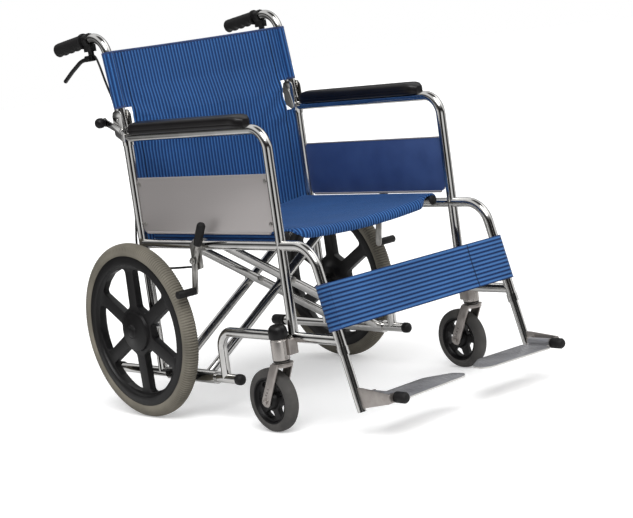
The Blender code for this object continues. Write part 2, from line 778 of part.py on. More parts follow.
def brake_cable(name, side):
    """Cable from the hand lever down the back post to the parking brake's plate."""
    w = FRAME_HALF
    off = CABLE_OFFSET
    route = [
        (0, 0.2637, 0.8430),
        (0, 0.2590, 0.8430),
        (0, 0.2520, 0.8370),
        (0, 0.2430, 0.8140),
        (0, 0.2300, 0.7780),
        (0, 0.2160, 0.7420),
        (0, 0.2105, 0.7160),
        (0, 0.2060, 0.6900),
        (0, 0.2015, 0.6650),
        (0, 0.1960, 0.6400),
        (0, 0.1945, 0.6100),
        (0, 0.1940, 0.5400),
        (0, 0.1940, 0.4700),
        (0.0040, 0.1938, 0.4400),
        (0.0100, 0.1910, 0.4150),
        (0.0145, 0.1865, 0.3930),
        (off, 0.1760, 0.3720),
        (off, 0.1560, 0.3560),
        (off, 0.1250, 0.3490),
        (off, 0.0800, 0.3470),
        (off, 0.0300, 0.3490),
        (off, 0.0000, 0.3510),
        (off, -0.0217, 0.3520),
    ]
    return tube(name, [at(side, w + u, y, z) for u, y, z in route], CABLE, 8)


# Cross brace


def brace(name, side, bars, sleeve_front, sleeve_rear):
    """Half of the cross brace: a sleeve on one base tube, two bars and the seat tube over the far rail."""
    foot_x = side * FRAME_HALF
    seat_x = -side * SEAT_TUBE_X
    sleeve = rod(name, (foot_x, sleeve_front, BASE_Z), (foot_x, sleeve_rear, BASE_Z), SLEEVE, TUBE_SIDES)
    cross_z = brace_cross_z()
    tube_ends = [(seat_x, y, SEAT_TUBE_Z) for y in (SEAT_FRONT, SEAT_REAR)]
    join(sleeve, rod("seat_tube", *tube_ends, TUBE, TUBE_SIDES))
    for y in bars:
        join(sleeve, rod("bar", (foot_x, y, BASE_Z), (seat_x, y, SEAT_TUBE_Z), BRACE_BAR, TUBE_SIDES))
    room_ends = [(foot_x, y, BASE_Z) for y in (sleeve_front - 0.02, sleeve_rear + 0.02)]
    base_room = rod("base_room", *room_ends, running(TUBE, TUBE_SIDES), TUBE_SIDES)
    bolt_room = rod("bolt_room", (0, bars[1] - 0.03, cross_z), (0, bars[0] + 0.03, cross_z), running(BRACE_BOLT))
    return cut(sleeve, base_room, bolt_room)


def brace_cross_z():
    share = FRAME_HALF / (FRAME_HALF + SEAT_TUBE_X)
    return BASE_Z + share * (SEAT_TUBE_Z - BASE_Z)


def pivot_bolt(name, a_bar, b_bar):
    """Bolt through one pair of bars, with its head, its nut and the washer between the bars."""
    z = brace_cross_z()
    reach = BRACE_BAR + GAP
    bolt = rod(name, (0, b_bar - reach - 0.004, z), (0, a_bar + reach + 0.004, z), BRACE_BOLT)
    join(bolt, rod("nut", (0, b_bar - reach - 0.004, z), (0, b_bar - reach, z), 0.0075, 6))
    join(bolt, rod("head", (0, a_bar + reach, z), (0, a_bar + reach + 0.005, z), 0.0075))
    return join(bolt, rod("washer", (0, b_bar + reach, z), (0, a_bar - reach, z), 0.0085))


# Upholstery


def seat_sling(name):
    """Seat cloth lying on the two seat tubes and sagging between them."""
    edge = SEAT_TUBE_X + 0.012
    span = SEAT_TUBE_X - 0.012
    low = SEAT_TUBE_Z + TUBE + GAP
    thick = 0.008
    sag = 0.015
    steps = 10
    xs = [-span + 2 * span * k / steps for k in range(steps + 1)]
    drop = [sag * (1 - (x / span) ** 2) for x in xs]
    under = [(-edge, low)] + [(x, low - d) for x, d in zip(xs, drop)] + [(edge, low)]
    upper = [(x, z + thick) for x, z in under]
    middle = (SEAT_FRONT + SEAT_REAR) / 2
    return plate(name, under + upper[::-1], SEAT_REAR - SEAT_FRONT, FRONT_VIEW, (0, middle, 0))


def back_sling_upper(name):
    """Upper back cloth, with a sleeve over each cane."""
    run = Vector((0, CANE_BEND[0] - CANE_FOOT[0], CANE_BEND[1] - CANE_FOOT[1])).normalized()
    across = Vector((1, 0, 0))
    facing = across.cross(run)
    view = Matrix((across, run, facing)).transposed().to_4x4()
    narrow = FRAME_HALF - 0.0152
    shoulder = 0.027
    top = 0.1563
    hem = 0.001
    hinge = Vector((0, HINGE_Y, HINGE_Z))
    lower = [(-narrow, GAP), (narrow, GAP), (narrow, shoulder + hem), (-narrow, shoulder + hem)]
    upper = [(-FRAME_HALF, shoulder), (FRAME_HALF, shoulder), (FRAME_HALF, top), (-FRAME_HALF, top)]
    sling = plate(name, lower, 0.004, view, hinge)
    join(sling, plate("upper_cloth", upper, 0.004, view, hinge))
    for side in SIDES.values():
        foot = hinge + across * side * FRAME_HALF
        join(sling, rod("sleeve", foot + run * (shoulder - hem), foot + run * (top + hem), 0.0148, TUBE_SIDES))
    for side in SIDES.values():
        cut(sling, tube_room(side, CANE_LINE))
    return sling


def back_sling_lower(name):
    """Lower back cloth, between the hinge line and the seat, held between the posts."""
    half = 0.002
    kink = (POST_Y + 0.001, 0.628)
    bottom = (POST_Y, RAIL_Z + 0.005)
    hinge = (HINGE_Y, HINGE_Z - GAP)
    narrow = FRAME_HALF - 0.0152
    wide = FRAME_HALF - TUBE - GAP
    sling = plate(name, strap_outline([hinge, kink, bottom], half, 0), 2 * narrow, SIDE_VIEW, (0, 0, 0))
    return join(sling, plate("hem", strap_outline([kink, bottom], half, 0), 2 * wide, SIDE_VIEW, (0, 0, 0)))


def calf_strap(name):
    """Strap across the front of both hangers and wrapped round them."""
    low = 0.224
    high = 0.320
    thick = 0.005
    hem = 0.001
    run = Vector((0, hanger_y(high) - hanger_y(low), high - low))
    length = run.length
    run.normalize()
    across = Vector((1, 0, 0))
    facing = across.cross(run)
    view = Matrix((across, run, facing)).transposed().to_4x4()
    inner = TUBE + GAP
    middle = Vector((0, (hanger_y(low) + hanger_y(high)) / 2, (low + high) / 2)) + facing * (inner + thick / 2)
    outline = [(x * FRAME_HALF, y * length / 2) for x, y in ((-1, -1), (1, -1), (1, 1), (-1, 1))]
    strap = plate(name, outline, thick, view, middle)
    for side in SIDES.values():
        foot = at(side, FRAME_HALF, hanger_y(low), low)
        join(strap, rod("wrap", foot - run * hem, foot + run * (length + hem), inner + thick, TUBE_SIDES))
    for side in SIDES.values():
        cut(strap, tube_room(side, RAIL_LINE))
    return strap


# Assembly


def build_side(label, side, frame, cane_name):
    """Everything on one side frame, and what turns on it."""
    def named(maker):
        return maker(f"{maker.__name__}_{label}", side)

    frame.carry(CHROME, named(back_post), named(arm_tube), named(leg_rail), named(front_post))
    frame.carry(CHROME, named(lower_rail), named(base_tube))
    frame.carry(CHROME, named(leg_tube))
    frame.carry(PANEL, named(skirt_panel))
    frame.carry(VINYL, named(arm_pad))
    frame.carry(PLASTIC, named(caster_cap))
    frame.carry(RUBBER, named(footrest_cap))
    frame.carry(ZINC, named(brake_bracket))

    wheel = Axis(f"wheel_axis_{label}", at(side, WHEEL_U, POST_Y, AXLE_Z), frame)
    wheel.carry(TYRE, named(rear_tyre))
    wheel.carry(PLASTIC, named(rear_hub))

    swivel = Axis(f"swivel_axis_{label}", at(side, CASTER_U, CASTER_Y, CASTER_RADIUS), frame)
    swivel.carry(ALUMINIUM, named(caster_fork))
    roll = Axis(f"caster_axis_{label}", at(side, CASTER_U, CASTER_Y + CASTER_TRAIL, CASTER_RADIUS), swivel)
    roll.carry(CASTER_TYRE, named(caster_wheel))

    foot = Axis(f"foot_axis_{label}", at(side, FOOT_U, -0.555, FOOT_Z), frame)
    foot.carry(ALUMINIUM, named(footplate))

    park = Axis(f"park_axis_{label}", at(side, FRAME_HALF, *PARK_PIVOT), frame)
    park.carry(ZINC, named(brake_lever))
    park.carry(RUBBER, named(brake_grip), named(brake_shoe))

    latch = Axis(f"latch_axis_{label}", at(side, FRAME_HALF, POST_Y, LATCH_Z), frame)
    latch.carry(PLASTIC, named(back_latch))

    cane = Axis(cane_name, at(side, FRAME_HALF, HINGE_Y, HINGE_Z), frame)
    cane.carry(CHROME, named(back_cane))
    cane.carry(RUBBER, named(hand_grip))
    cane.carry(PLASTIC, named(hand_brake_body))
    lever = Axis(f"lever_axis_{label}", at(side, FRAME_HALF, *LEVER_PIVOT), cane)
    lever.carry(PLASTIC, named(hand_brake_lever))
    frame.carry(RUBBER, named(brake_cable))
    return cane


def build():
    chair = Axis("chair", (0, 0, 0))
    fold = Axis("fold_axis", at(SIDES["right"], FRAME_HALF, 0, BASE_Z), chair)
    cross = Axis("cross_axis", (0, 0, brace_cross_z()), fold)
    left_frame = Axis("left_frame_axis", at(SIDES["left"], FRAME_HALF, 0, BASE_Z), cross)

    right_cane = build_side("right", SIDES["right"], chair, "cane_axis_right")
    build_side("left", SIDES["left"], left_frame, "cane_axis_left")

    fold.carry(CHROME, brace("brace_a", SIDES["right"], BRACE_A_BARS, -0.030, 0.150))
    cross.carry(CHROME, brace("brace_b", SIDES["left"], BRACE_B_BARS, -0.035, 0.125))
    fold.carry(ZINC, pivot_bolt("pivot_bolt_rear", BRACE_A_BARS[0], BRACE_B_BARS[0]))
    fold.carry(ZINC, pivot_bolt("pivot_bolt_front", BRACE_A_BARS[1], BRACE_B_BARS[1]))

    chair.carry(FABRIC, seat_sling("seat_sling"), back_sling_lower("back_sling_lower"), calf_strap("calf_strap"))
    right_cane.carry(FABRIC, back_sling_upper("back_sling_upper"))
    chair.empty.location.y = ORIGIN_Y


build()
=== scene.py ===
"""The looks of a folding transit wheelchair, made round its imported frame.

Metres, +Z up, +Y to the rear; the occupant's right is -X. Places are u out from the middle plane, y
to the rear and z up from the floor, and at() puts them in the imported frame's own coordinates.
"""

from bisect import bisect_left
from math import atan2, cos, exp, hypot, pi, radians, sin, tan

import bpy
from mathutils import Matrix, Vector
from mathutils.noise import noise


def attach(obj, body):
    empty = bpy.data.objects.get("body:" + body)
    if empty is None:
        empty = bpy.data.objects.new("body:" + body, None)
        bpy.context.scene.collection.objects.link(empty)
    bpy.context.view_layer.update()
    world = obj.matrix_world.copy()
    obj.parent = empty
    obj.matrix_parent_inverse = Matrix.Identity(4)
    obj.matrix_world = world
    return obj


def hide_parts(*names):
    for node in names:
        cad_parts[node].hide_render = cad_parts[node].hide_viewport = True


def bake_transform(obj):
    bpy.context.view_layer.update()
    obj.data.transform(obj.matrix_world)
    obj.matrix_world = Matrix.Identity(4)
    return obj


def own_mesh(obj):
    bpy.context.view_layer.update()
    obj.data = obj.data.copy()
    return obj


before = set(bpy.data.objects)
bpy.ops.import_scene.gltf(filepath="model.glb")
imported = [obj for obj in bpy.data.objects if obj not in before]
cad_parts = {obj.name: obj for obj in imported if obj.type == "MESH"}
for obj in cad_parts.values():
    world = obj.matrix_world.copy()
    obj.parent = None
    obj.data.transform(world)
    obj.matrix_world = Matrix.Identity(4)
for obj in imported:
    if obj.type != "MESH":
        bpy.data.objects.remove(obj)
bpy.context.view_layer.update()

# Places and sizes that the pieces share with the frame
ORIGIN_Y = 0.10674
SIDES = (("right", -1), ("left", 1))
WIDE = 0.260
TUBE = 0.0110
POST_Y = 0.178
RAIL_Z = 0.400
LOWER_Z = 0.203
BASE_Z = 0.095
BASE_FRONT, BASE_REAR = -0.105, 0.360
FRONT_POST_Y = -0.318
ARM_Z = 0.649
HANGER_LEAN = 0.2556
RAIL_FRONT_Y = -0.4136
WHEEL = (0.307, 0.178, 0.205)
CASTER = (0.293, -0.261, 0.070)
CASTER_STEM_Y = -0.306
SEAT_TUBE = (0.224, 0.412)
HINGE = (0.187, 0.690)
CANE_FOOT = (0.184, 0.668)
CANE_BEND = (0.213, 0.888)
HANDLE_END = (0.400, 0.866)


def at(side, u, y, z):
    return Vector((side * u, y + ORIGIN_Y, z))


def hanger(z):
    """The place in the side view, at a height, on the leg hanger's line."""
    return RAIL_FRONT_Y - (RAIL_Z - z) * HANGER_LEAN, z


# ---- Materials


def hexed(code):
    """An sRGB hex colour as linear red, green, blue and alpha."""
    shares = [int(code[k:k + 2], 16) / 255 for k in (1, 3, 5)]
    return (*[s / 12.92 if s <= 0.04045 else ((s + 0.055) / 1.055) ** 2.4 for s in shares], 1)


def add(tree, kind, values=None, links=None, **settings):
    """One node with its settings, the values of its sockets and the links into it."""
    made = tree.nodes.new("ShaderNode" + kind)
    for name, value in settings.items():
        setattr(made, name, value)
    for socket, value in (values or {}).items():
        made.inputs[socket].default_value = value
    for socket, source in (links or {}).items():
        tree.links.new(source, made.inputs[socket])
    return made


def maths(tree, operation, *inputs):
    """The result of a sum on numbers and sockets, in their order."""
    values = {k: item for k, item in enumerate(inputs) if isinstance(item, (int, float))}
    links = {k: item for k, item in enumerate(inputs) if k not in values}
    return add(tree, "Math", values, links, operation=operation).outputs[0]


def ranged(tree, source, low, high, start=0.0, stop=1.0):
    """A socket's low to high, turned to start to stop."""
    values = {"From Min": low, "From Max": high, "To Min": start, "To Max": stop}
    return add(tree, "MapRange", values, {"Value": source}).outputs["Result"]


def dimmed(tree, colour, share):
    links = {0: colour, "Scale": share}
    return add(tree, "VectorMath", links=links, operation="SCALE").outputs["Vector"]


def noisy(tree, where, scale, detail, **values):
    values = {"Scale": scale, "Detail": detail, **values}
    return add(tree, "TexNoise", values, {"Vector": where}).outputs["Fac"]


def bumped(tree, shader, height, strength, distance):
    lift = add(tree, "Bump", {"Strength": strength, "Distance": distance}, {"Height": height})
    tree.links.new(lift.outputs["Normal"], shader.inputs["Normal"])


def around(tree, where):
    """The angle round Z as a share of a turn."""
    made = add(tree, "TexGradient", links={"Vector": where}, gradient_type="RADIAL")
    return made.outputs["Fac"]


def from_origin(tree, where):
    made = add(tree, "VectorMath", links={0: where}, operation="LENGTH")
    return made.outputs["Value"]


def ramp(tree, source, stops):
    made = add(tree, "ValToRGB", links={"Fac": source})
    points = made.color_ramp.elements
    while len(points) < len(stops):
        points.new(0.5)
    for point, (place, colour) in zip(points, stops):
        point.position = place
        point.color = hexed(colour)
    return made.outputs["Color"]


def shaded(name, colour, roughness, metallic=0.0, specular=0.5, **sockets):
    """A material with its colour, roughness and metal set on the shader."""
    made = bpy.data.materials.new(name)
    made.use_nodes = True
    shader = made.node_tree.nodes["Principled BSDF"]
    sockets |= {"Base_Color": hexed(colour), "Roughness": roughness, "Metallic": metallic,
                "Specular_IOR_Level": specular}
    for socket, value in sockets.items():
        shader.inputs[socket.replace("_", " ")].default_value = value
    return made, made.node_tree, shader


def grained(name, colours, roughness, metallic, scale, spread, height, low, high,
            stretch=(1, 1, 1), **sockets):
    """A plain material of a base, a dark and a light colour.

    Fine noise lifts it by the height; broad noise tints it and moves its roughness, low to high.
    """
    base, dark, light = colours.split()
    made, tree, shader = shaded(name, base, roughness, metallic, **sockets)
    where = add(tree, "TexCoord").outputs["Object"]
    where = add(tree, "Mapping", {"Scale": stretch}, {"Vector": where}).outputs["Vector"]
    broad = noisy(tree, where, spread, 3.0)
    tree.links.new(ranged(tree, broad, 0.0, 1.0, low, high), shader.inputs["Roughness"])
    if height:
        bumped(tree, shader, noisy(tree, where, scale, 4.0, Roughness=0.6), 0.5, height)
    tinted = ramp(tree, broad, [(0.3, dark), (0.7, light)])
    tree.links.new(tinted, shader.inputs["Base Color"])
    return made


# Chromium on polished steel tube: a mirror with faint polishing haze
CHROME = grained("chrome_plate", "#C6C5C3 #BEBDBB #CFCECC", 0.10, 1, 900, 22, 0, 0.07, 0.15)

# Zinc on pressed steel: a dull grey mirror, mottled by the bath
ZINC = grained(
    "zinc_plated_steel", "#A5A4A1 #8F8D8A #B4B2AE", 0.34, 1, 700, 60, 0.00008, 0.26, 0.44)

# Die cast aluminium, tumbled: a soft satin with a fine sandy grain
CAST = grained(
    "cast_aluminium", "#A39D99 #958F8B #AFA9A5", 0.36, 0.9, 1400, 40, 0.00012, 0.30, 0.46)

# Rolled aluminium sheet, brushed along the chair: long fine scratches in a warm grey
SHEET_METAL = grained(
    "brushed_aluminium_sheet", "#ABA6A5 #A5A09F #B0ABAA", 0.42, 0.45, 500, 6, 0.00005, 0.38, 0.46,
    (1, 0.04, 1))

# Turned steel of the caster housings, plated and less sandy than the castings
TURNED = grained(
    "turned_plated_steel", "#A6A19D #9A9591 #B1ACA8", 0.2, 1, 900, 50, 0.00003, 0.15, 0.27,
    (1, 1, 0.15))

# Footplate tread: cast aluminium under a grey enamel, dulled by shoes
TREAD = grained(
    "grey_enamelled_tread", "#8C8C8F #818184 #9B9B9E", 0.38, 0.5, 900, 18, 0.0001, 0.30, 0.50)

# Edges of the footplates, painted bright as a highlight
EDGE_HIGHLIGHT_PAINT = grained(
    "painted_highlight_aluminium", "#DEDCD9 #D6D4D1 #E4E2DF", 0.34, 0.8, 900, 40, 0.00004, 0.28, 0.40)

# Plain nylon backing of the seat and back, darker than the face
BACKING = grained(
    "navy_nylon_backing", "#151C2C #121826 #1A2233", 0.8, 0, 900, 12, 0.0002, 0.72, 0.88)

# Painted reflection of the blue seat and back on the inner face of the skirt: flat navy with a
# leather grain
BLUE_REFLECTION_PAINT = grained(
    "painted_blue_reflection", "#2D4370 #32487A #3B5387", 0.55, 0, 420, 18, 0.0003, 0.48, 0.62)

# Glass filled nylon, moulded: near black, even, with a fine spark eroded texture
NYLON = grained(
    "moulded_black_nylon", "#0B0A0B #090809 #0F0E0F", 0.46, 0, 1100, 30, 0.0001, 0.34, 0.50,
    specular=0.28)

# Soft black PVC of the grips and plugs: matt, a little dusty
PVC = grained(
    "soft_black_pvc", "#100F10 #0D0C0D #171617", 0.6, 0, 800, 45, 0.00015, 0.5, 0.72, specular=0.3)

# Jacket of the brake cables: extruded PVC over steel, smoother than the grips
CABLE_JACKET = grained(
    "extruded_cable_jacket", "#0D0D0E #0B0B0C #121213", 0.45, 0, 1500, 60, 0.00005, 0.38, 0.52,
    specular=0.3)

# Self skinned polyurethane of the arm pads: a leather grain with a low gloss
PAD_SKIN = grained(
    "arm_pad_polyurethane", "#100E0F #0D0B0C #151214", 0.34, 0, 260, 14, 0.0004, 0.30, 0.44,
    specular=0.35)

# Dark grey rubber of the casters
DARK_RUBBER = grained(
    "dark_caster_rubber", "#42403E #3B3A39 #504E4C", 0.75, 0, 600, 24, 0.0002, 0.66, 0.84,
    specular=0.3)

# Binding tape and thread, woven nylon in the darkest blue of the cloth
BINDING = grained(
    "navy_binding_tape", "#16305F #122A55 #1B386C", 0.8, 0, 900, 50, 0.0002, 0.74, 0.88,
    Sheen_Weight=0.2)

RIBS = 196


def groove_shaded_rubber():
    """Solid grey rubber of the rear tyres: dull, with painted shade darkening the grooves of the
    ribs.
    """
    made = grained("grey_tyre_rubber", "#6E6A60 #69655B #7D786D", 0.85, 0,
                   600, 16, 0.0002, 0.78, 0.92, specular=0.3)
    tree = made.node_tree
    place = add(tree, "TexCoord").outputs["Object"]
    axle = {"Location": (0, -WHEEL[1] - ORIGIN_Y, -WHEEL[2])}
    place = add(tree, "Mapping", axle, {"Vector": place}).outputs["Vector"]
    parts = add(tree, "SeparateXYZ", links={"Vector": place}).outputs
    flat = add(tree, "CombineXYZ", links={"X": parts["Y"], "Y": parts["Z"]}).outputs["Vector"]
    wave = maths(tree, "COSINE", maths(tree, "MULTIPLY", around(tree, flat), 2 * pi * RIBS))
    crown = ranged(tree, from_origin(tree, flat), 0.186, 0.193)
    groove = maths(tree, "MULTIPLY", ranged(tree, wave, -1.0, 0.2, 0.45, 0.0), crown)
    colour = tree.nodes["Principled BSDF"].inputs["Base Color"]
    unshaded_colour = colour.links[0].from_socket
    # Painted shade: in the grooves between the ribs the colour is darkened towards this one
    painted_groove_shade = {7: hexed("#2B2824")}
    groove_shaded_colour = add(tree, "Mix", painted_groove_shade, {0: groove, 6: unshaded_colour}, data_type="RGBA").outputs[2]
    tree.links.new(groove_shaded_colour, colour)
    return made


GREY_RUBBER = groove_shaded_rubber()

INK_BLUE = "#0A1D3E"
DARK_BLUE = "#122E59"
DEEP_BLUE = "#173A6E"
MID_BLUE = "#22528F"
SOFT_BLUE = "#2F5A8F"
PALE_BLUE = "#4375AE"
STRIPE = [
    (0.0, DARK_BLUE), (0.12, DARK_BLUE), (0.26, MID_BLUE), (0.44, PALE_BLUE), (0.60, MID_BLUE),
    (0.82, DEEP_BLUE), (1.0, DARK_BLUE)]
# The strap is woven heavier: a broad pale rib between narrow dark lines
HEAVY_STRIPE = [
    (0.0, INK_BLUE), (0.09, INK_BLUE), (0.20, DEEP_BLUE), (0.34, SOFT_BLUE), (0.52, "#426B9C"),
    (0.70, SOFT_BLUE), (0.86, DEEP_BLUE), (1.0, INK_BLUE)]
WEFTS = 1800.0
SEAM_CORE, SEAM_EDGE = 0.0025, 0.0045


def striped_cloth(name, axis, stripes, seams=(), stops=STRIPE):
    """Heavy polyester, woven in stripes with a rib to each: axis 0 counts across U and 1 up V.

    The real threads are about 0.5 mm apart, too fine to show, so the weave is drawn coarser.
    The seams are dark lines at shares of U.
    """
    made, tree, shader = shaded(name, MID_BLUE, 0.84, 0, 0.25, Sheen_Weight=0.06,
                                Sheen_Roughness=0.4)
    where = add(tree, "UVMap").outputs["UV"]
    parts = add(tree, "SeparateXYZ", links={"Vector": where}).outputs
    across, along = (parts["X"], parts["Y"]) if axis == 0 else (parts["Y"], parts["X"])
    count = maths(tree, "MULTIPLY", across, float(stripes))
    place = add(tree, "TexCoord").outputs["Object"]
    both = maths(tree, "ADD", noisy(tree, place, 420.0, 3.0), noisy(tree, place, 7.0, 2.0))
    tint = ranged(tree, both, 0.6, 1.4, 0.80, 1.16)
    colour = dimmed(tree, ramp(tree, maths(tree, "FRACT", count), stops), tint)
    rib = maths(tree, "SINE", maths(tree, "MULTIPLY", count, 2 * pi))
    weft = maths(tree, "SINE", maths(tree, "MULTIPLY", along, WEFTS))
    height = maths(tree, "SUBTRACT", rib, maths(tree, "MULTIPLY", weft, 0.25))
    for seam in seams:
        gap = maths(tree, "ABSOLUTE", maths(tree, "SUBTRACT", parts["X"], seam))
        line = ranged(tree, gap, SEAM_CORE, SEAM_EDGE, 0.35, 1.0)
        colour = dimmed(tree, colour, line)
        height = maths(tree, "MULTIPLY", height, line)
    bumped(tree, shader, height, 0.6, 0.0006)
    tree.links.new(colour, shader.inputs["Base Color"])
    return made


BACK_CLOTH = striped_cloth("back_cloth_weave", 0, 54, (0.055, 0.945))
SEAT_CLOTH = striped_cloth("seat_cloth_weave", 0, 68)
STRAP_CLOTH = striped_cloth("calf_strap_weave", 1, 11, (0.80,), HEAVY_STRIPE)
SLEEVE_CLOTH = striped_cloth("sleeve_weave", 0, 9)
WRAP_CLOTH = striped_cloth("strap_wrap_weave", 1, 11, (), HEAVY_STRIPE)

# ---- Modelling


def linked(name, data):
    made = bpy.data.objects.new(name, data)
    bpy.context.scene.collection.objects.link(made)
    return made


def only(piece, *others):
    bpy.ops.object.select_all(action="DESELECT")
    for other in others:
        other.select_set(True)
    piece.select_set(True)
    bpy.context.view_layer.objects.active = piece


def editing(piece, chosen="SELECT"):
    only(piece)
    bpy.ops.object.mode_set(mode="EDIT")
    bpy.ops.mesh.select_mode(type="VERT")
    bpy.ops.mesh.select_all(action=chosen)


def done(piece):
    bpy.ops.object.mode_set(mode="OBJECT")
    return piece


def without(piece, test, kind="FACE"):
    """Delete the faces or edges that pass the test."""
    editing(piece, "DESELECT")
    bpy.ops.mesh.select_mode(type=kind)
    done(piece)
    for item in piece.data.polygons if kind == "FACE" else piece.data.edges:
        item.select = test(item)
    bpy.ops.object.mode_set(mode="EDIT")
    bpy.ops.mesh.delete(type=kind)
    return done(piece)


def settled(piece):
    """Put a piece's place in its mesh."""
    only(piece)
    bpy.ops.object.transform_apply(location=True, rotation=True, scale=True)
    return piece


def sealed(piece):
    """Merge what meets and turn the faces outwards."""
    editing(piece)
    bpy.ops.mesh.remove_doubles(threshold=1e-6)
    bpy.ops.mesh.normals_make_consistent(inside=False)
    return done(piece)


def modified(piece, kind, **settings):
    only(piece)
    step = piece.modifiers.new(kind.lower(), kind)
    for name, value in settings.items():
        setattr(step, name, value)
    bpy.ops.object.modifier_apply(modifier=step.name)
    return piece


def softened(piece, width, segments=2, angle=40):
    return modified(piece, "BEVEL", width=width, segments=segments, limit_method="ANGLE",
                    angle_limit=radians(angle))


def carved(piece, cutter):
    modified(piece, "BOOLEAN", operation="DIFFERENCE", solver="EXACT", object=cutter)
    bpy.data.objects.remove(cutter)
    return piece


def smoothed(piece, angle=38):
    only(piece)
    bpy.ops.object.shade_smooth_by_angle(angle=radians(angle))
    return piece


def together(first, *others):
    if others:
        only(first, *others)
        bpy.ops.object.join()
    return first


def coated(piece, *finishes):
    piece.data.materials.clear()
    for finish in finishes:
        piece.data.materials.append(finish)
    return piece


def two_faced(piece, outer, inner, test):
    """Give the faces that pass the test the inner finish, and the rest the outer one."""
    coated(piece, outer, inner)
    for face in piece.data.polygons:
        face.material_index = int(test(face))
    return piece


def placed(piece, name, body, finish, node=None):
    """Name a finished piece, give it its material and hang it on its body."""
    piece.name = piece.data.name = name
    if finish:
        coated(piece, finish)
    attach(piece, body)
    if node:
        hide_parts(node)
    return piece


def hung(label, piece, name, finish, node=None, body="frame"):
    """Place a piece of one side, whose name, body and node all take the side's label."""
    body = f"{label}_frame" if body == "frame" else f"{body}_{label}"
    return placed(piece, f"{name}_{label}", body, finish, node and f"{node}_{label}")


def fillet(before, corner, after, bend, limit=1.0):
    """A rounded corner's centre, start and end and its turn, within a share of its two sides."""
    back, ahead = before - corner, after - corner
    half = back.angle(ahead) / 2
    reach = min(bend / tan(half), limit * back.length, limit * ahead.length)
    back.normalize()
    ahead.normalize()
    centre = corner + (back + ahead).normalized() * (reach / cos(half))
    return centre, corner + back * reach, corner + ahead * reach, pi - 2 * half


def bent_tube(corners, radius, bend=0.0, sides=28):
    """A round tube, extruded along its straight runs and spun round its bends."""
    corners = [Vector(corner) for corner in corners]
    heading = (corners[1] - corners[0]).to_track_quat("Z", "Y").to_euler()
    bpy.ops.mesh.primitive_circle_add(vertices=sides, radius=radius, fill_type="NGON",
                                      location=corners[0], rotation=heading)
    piece = settled(bpy.context.object)
    editing(piece)
    place = corners[0]
    for three in zip(corners, corners[1:], corners[2:]):
        centre, stop, leave, turn = fillet(*three, bend)
        bpy.ops.mesh.extrude_region_move(TRANSFORM_OT_translate={"value": stop - place})
        steps, axis = max(4, round(turn / 0.09)), (stop - centre).cross(leave - centre)
        bpy.ops.mesh.spin(steps=steps, angle=-turn, center=centre, axis=axis)
        place = leave
    bpy.ops.mesh.extrude_region_move(TRANSFORM_OT_translate={"value": corners[-1] - place})
    bpy.ops.mesh.select_all(action="SELECT")
    bpy.ops.mesh.normals_make_consistent(inside=False)
    return smoothed(done(piece), 50)


def side_tube(side, line, radius, bend=0.0):
    return bent_tube([at(side, WIDE, y, z) for y, z in line], radius, bend)


def turned(profile, centre, axis, steps=48, ring=False, unit=1000):
    """A profile of (radius, height) points, in mm unless told otherwise, spun about an axis."""
    bpy.ops.mesh.primitive_circle_add(vertices=len(profile), radius=0.01)
    piece = bpy.context.object
    for vertex, (radius, height) in zip(piece.data.vertices, profile):
        vertex.co = (radius / unit, 0, height / unit)
    if not ring:
        ends = {0, len(profile) - 1}
        without(piece, lambda edge: set(edge.vertices) == ends, "EDGE")
    editing(piece)
    bpy.ops.mesh.spin(steps=steps, angle=2 * pi, center=(0, 0, 0), axis=(0, 0, 1))
    sealed(done(piece))
    piece.rotation_euler = Vector(axis).to_track_quat("Z", "Y").to_euler()
    piece.location = centre
    return settled(piece)


def both_ways(half):
    """A half profile with its mirror image after it."""
    return half + [(radius, -height) for radius, height in reversed(half)]


def slab(outline, thickness, matrix):
    """A flat outline filled, extruded and set by a matrix whose Z is its thickness."""
    bpy.ops.mesh.primitive_circle_add(vertices=len(outline), radius=0.01, fill_type="NGON")
    piece = bpy.context.object
    for vertex, (a, b) in zip(piece.data.vertices, outline):
        vertex.co = (a, b, -thickness / 2)
    editing(piece)
    bpy.ops.mesh.extrude_region_move(TRANSFORM_OT_translate={"value": (0, 0, thickness)})
    done(piece)
    piece.matrix_world = matrix
    return sealed(settled(piece))


SIDE_ON = Matrix(((0, 0, 1, 0), (1, 0, 0, 0), (0, 1, 0, 0), (0, 0, 0, 1)))


def block(centre, size, edge=0.0008):
    bpy.ops.mesh.primitive_cube_add(size=1, location=centre, scale=size)
    return softened(settled(bpy.context.object), edge)


def stub(start, end, radius, edge=0.0006, sides=24):
    """A short round bar with its rims softened."""
    start, end = Vector(start), Vector(end)
    turn = (end - start).to_track_quat("Z", "Y").to_euler()
    bpy.ops.mesh.primitive_cylinder_add(vertices=sides, radius=radius, depth=(end - start).length,
                                        location=(start + end) / 2, rotation=turn)
    return smoothed(softened(settled(bpy.context.object), edge))


def bolt(place, outward, radius, washer=True):
    """A hexagon head on a washer."""
    place, outward = Vector(place), Vector(outward).normalized()
    head = stub(place, place + outward * radius * 0.9, radius, radius * 0.12, 6)
    if washer:
        under, over = place - outward * 0.0002, place + outward * 0.0010
        head = together(head, stub(under, over, radius * 1.45, 0.0003))
    return head


def dressed(node, edge=0.0006, keep=None, angle=40):
    """A merged copy of a CAD node with its sharp edges softened; keep() says which faces stay."""
    piece = linked(node + "_form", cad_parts[node].data.copy())
    editing(piece)
    bpy.ops.mesh.remove_doubles(threshold=1e-5)
    bpy.ops.mesh.select_mode(type="FACE")
    bpy.ops.mesh.dissolve_limited(angle_limit=radians(0.6))
    done(piece)
    if keep:
        without(piece, lambda face: not keep(face.center))
    softened(piece, edge, 2, angle)
    return smoothed(piece, angle)


def away_from(side, line, reach):
    """A test for points further than reach from a tube's line in the side view."""
    ends = [(at(side, WIDE, *a), at(side, WIDE, *b)) for a, b in zip(line, line[1:])]

    def test(point):
        for start, end in ends:
            run = end - start
            share = max(0.0, min(1.0, (point - start).dot(run) / run.length_squared))
            if (point - start - run * share).length < reach:
                return False
        return True
    return test


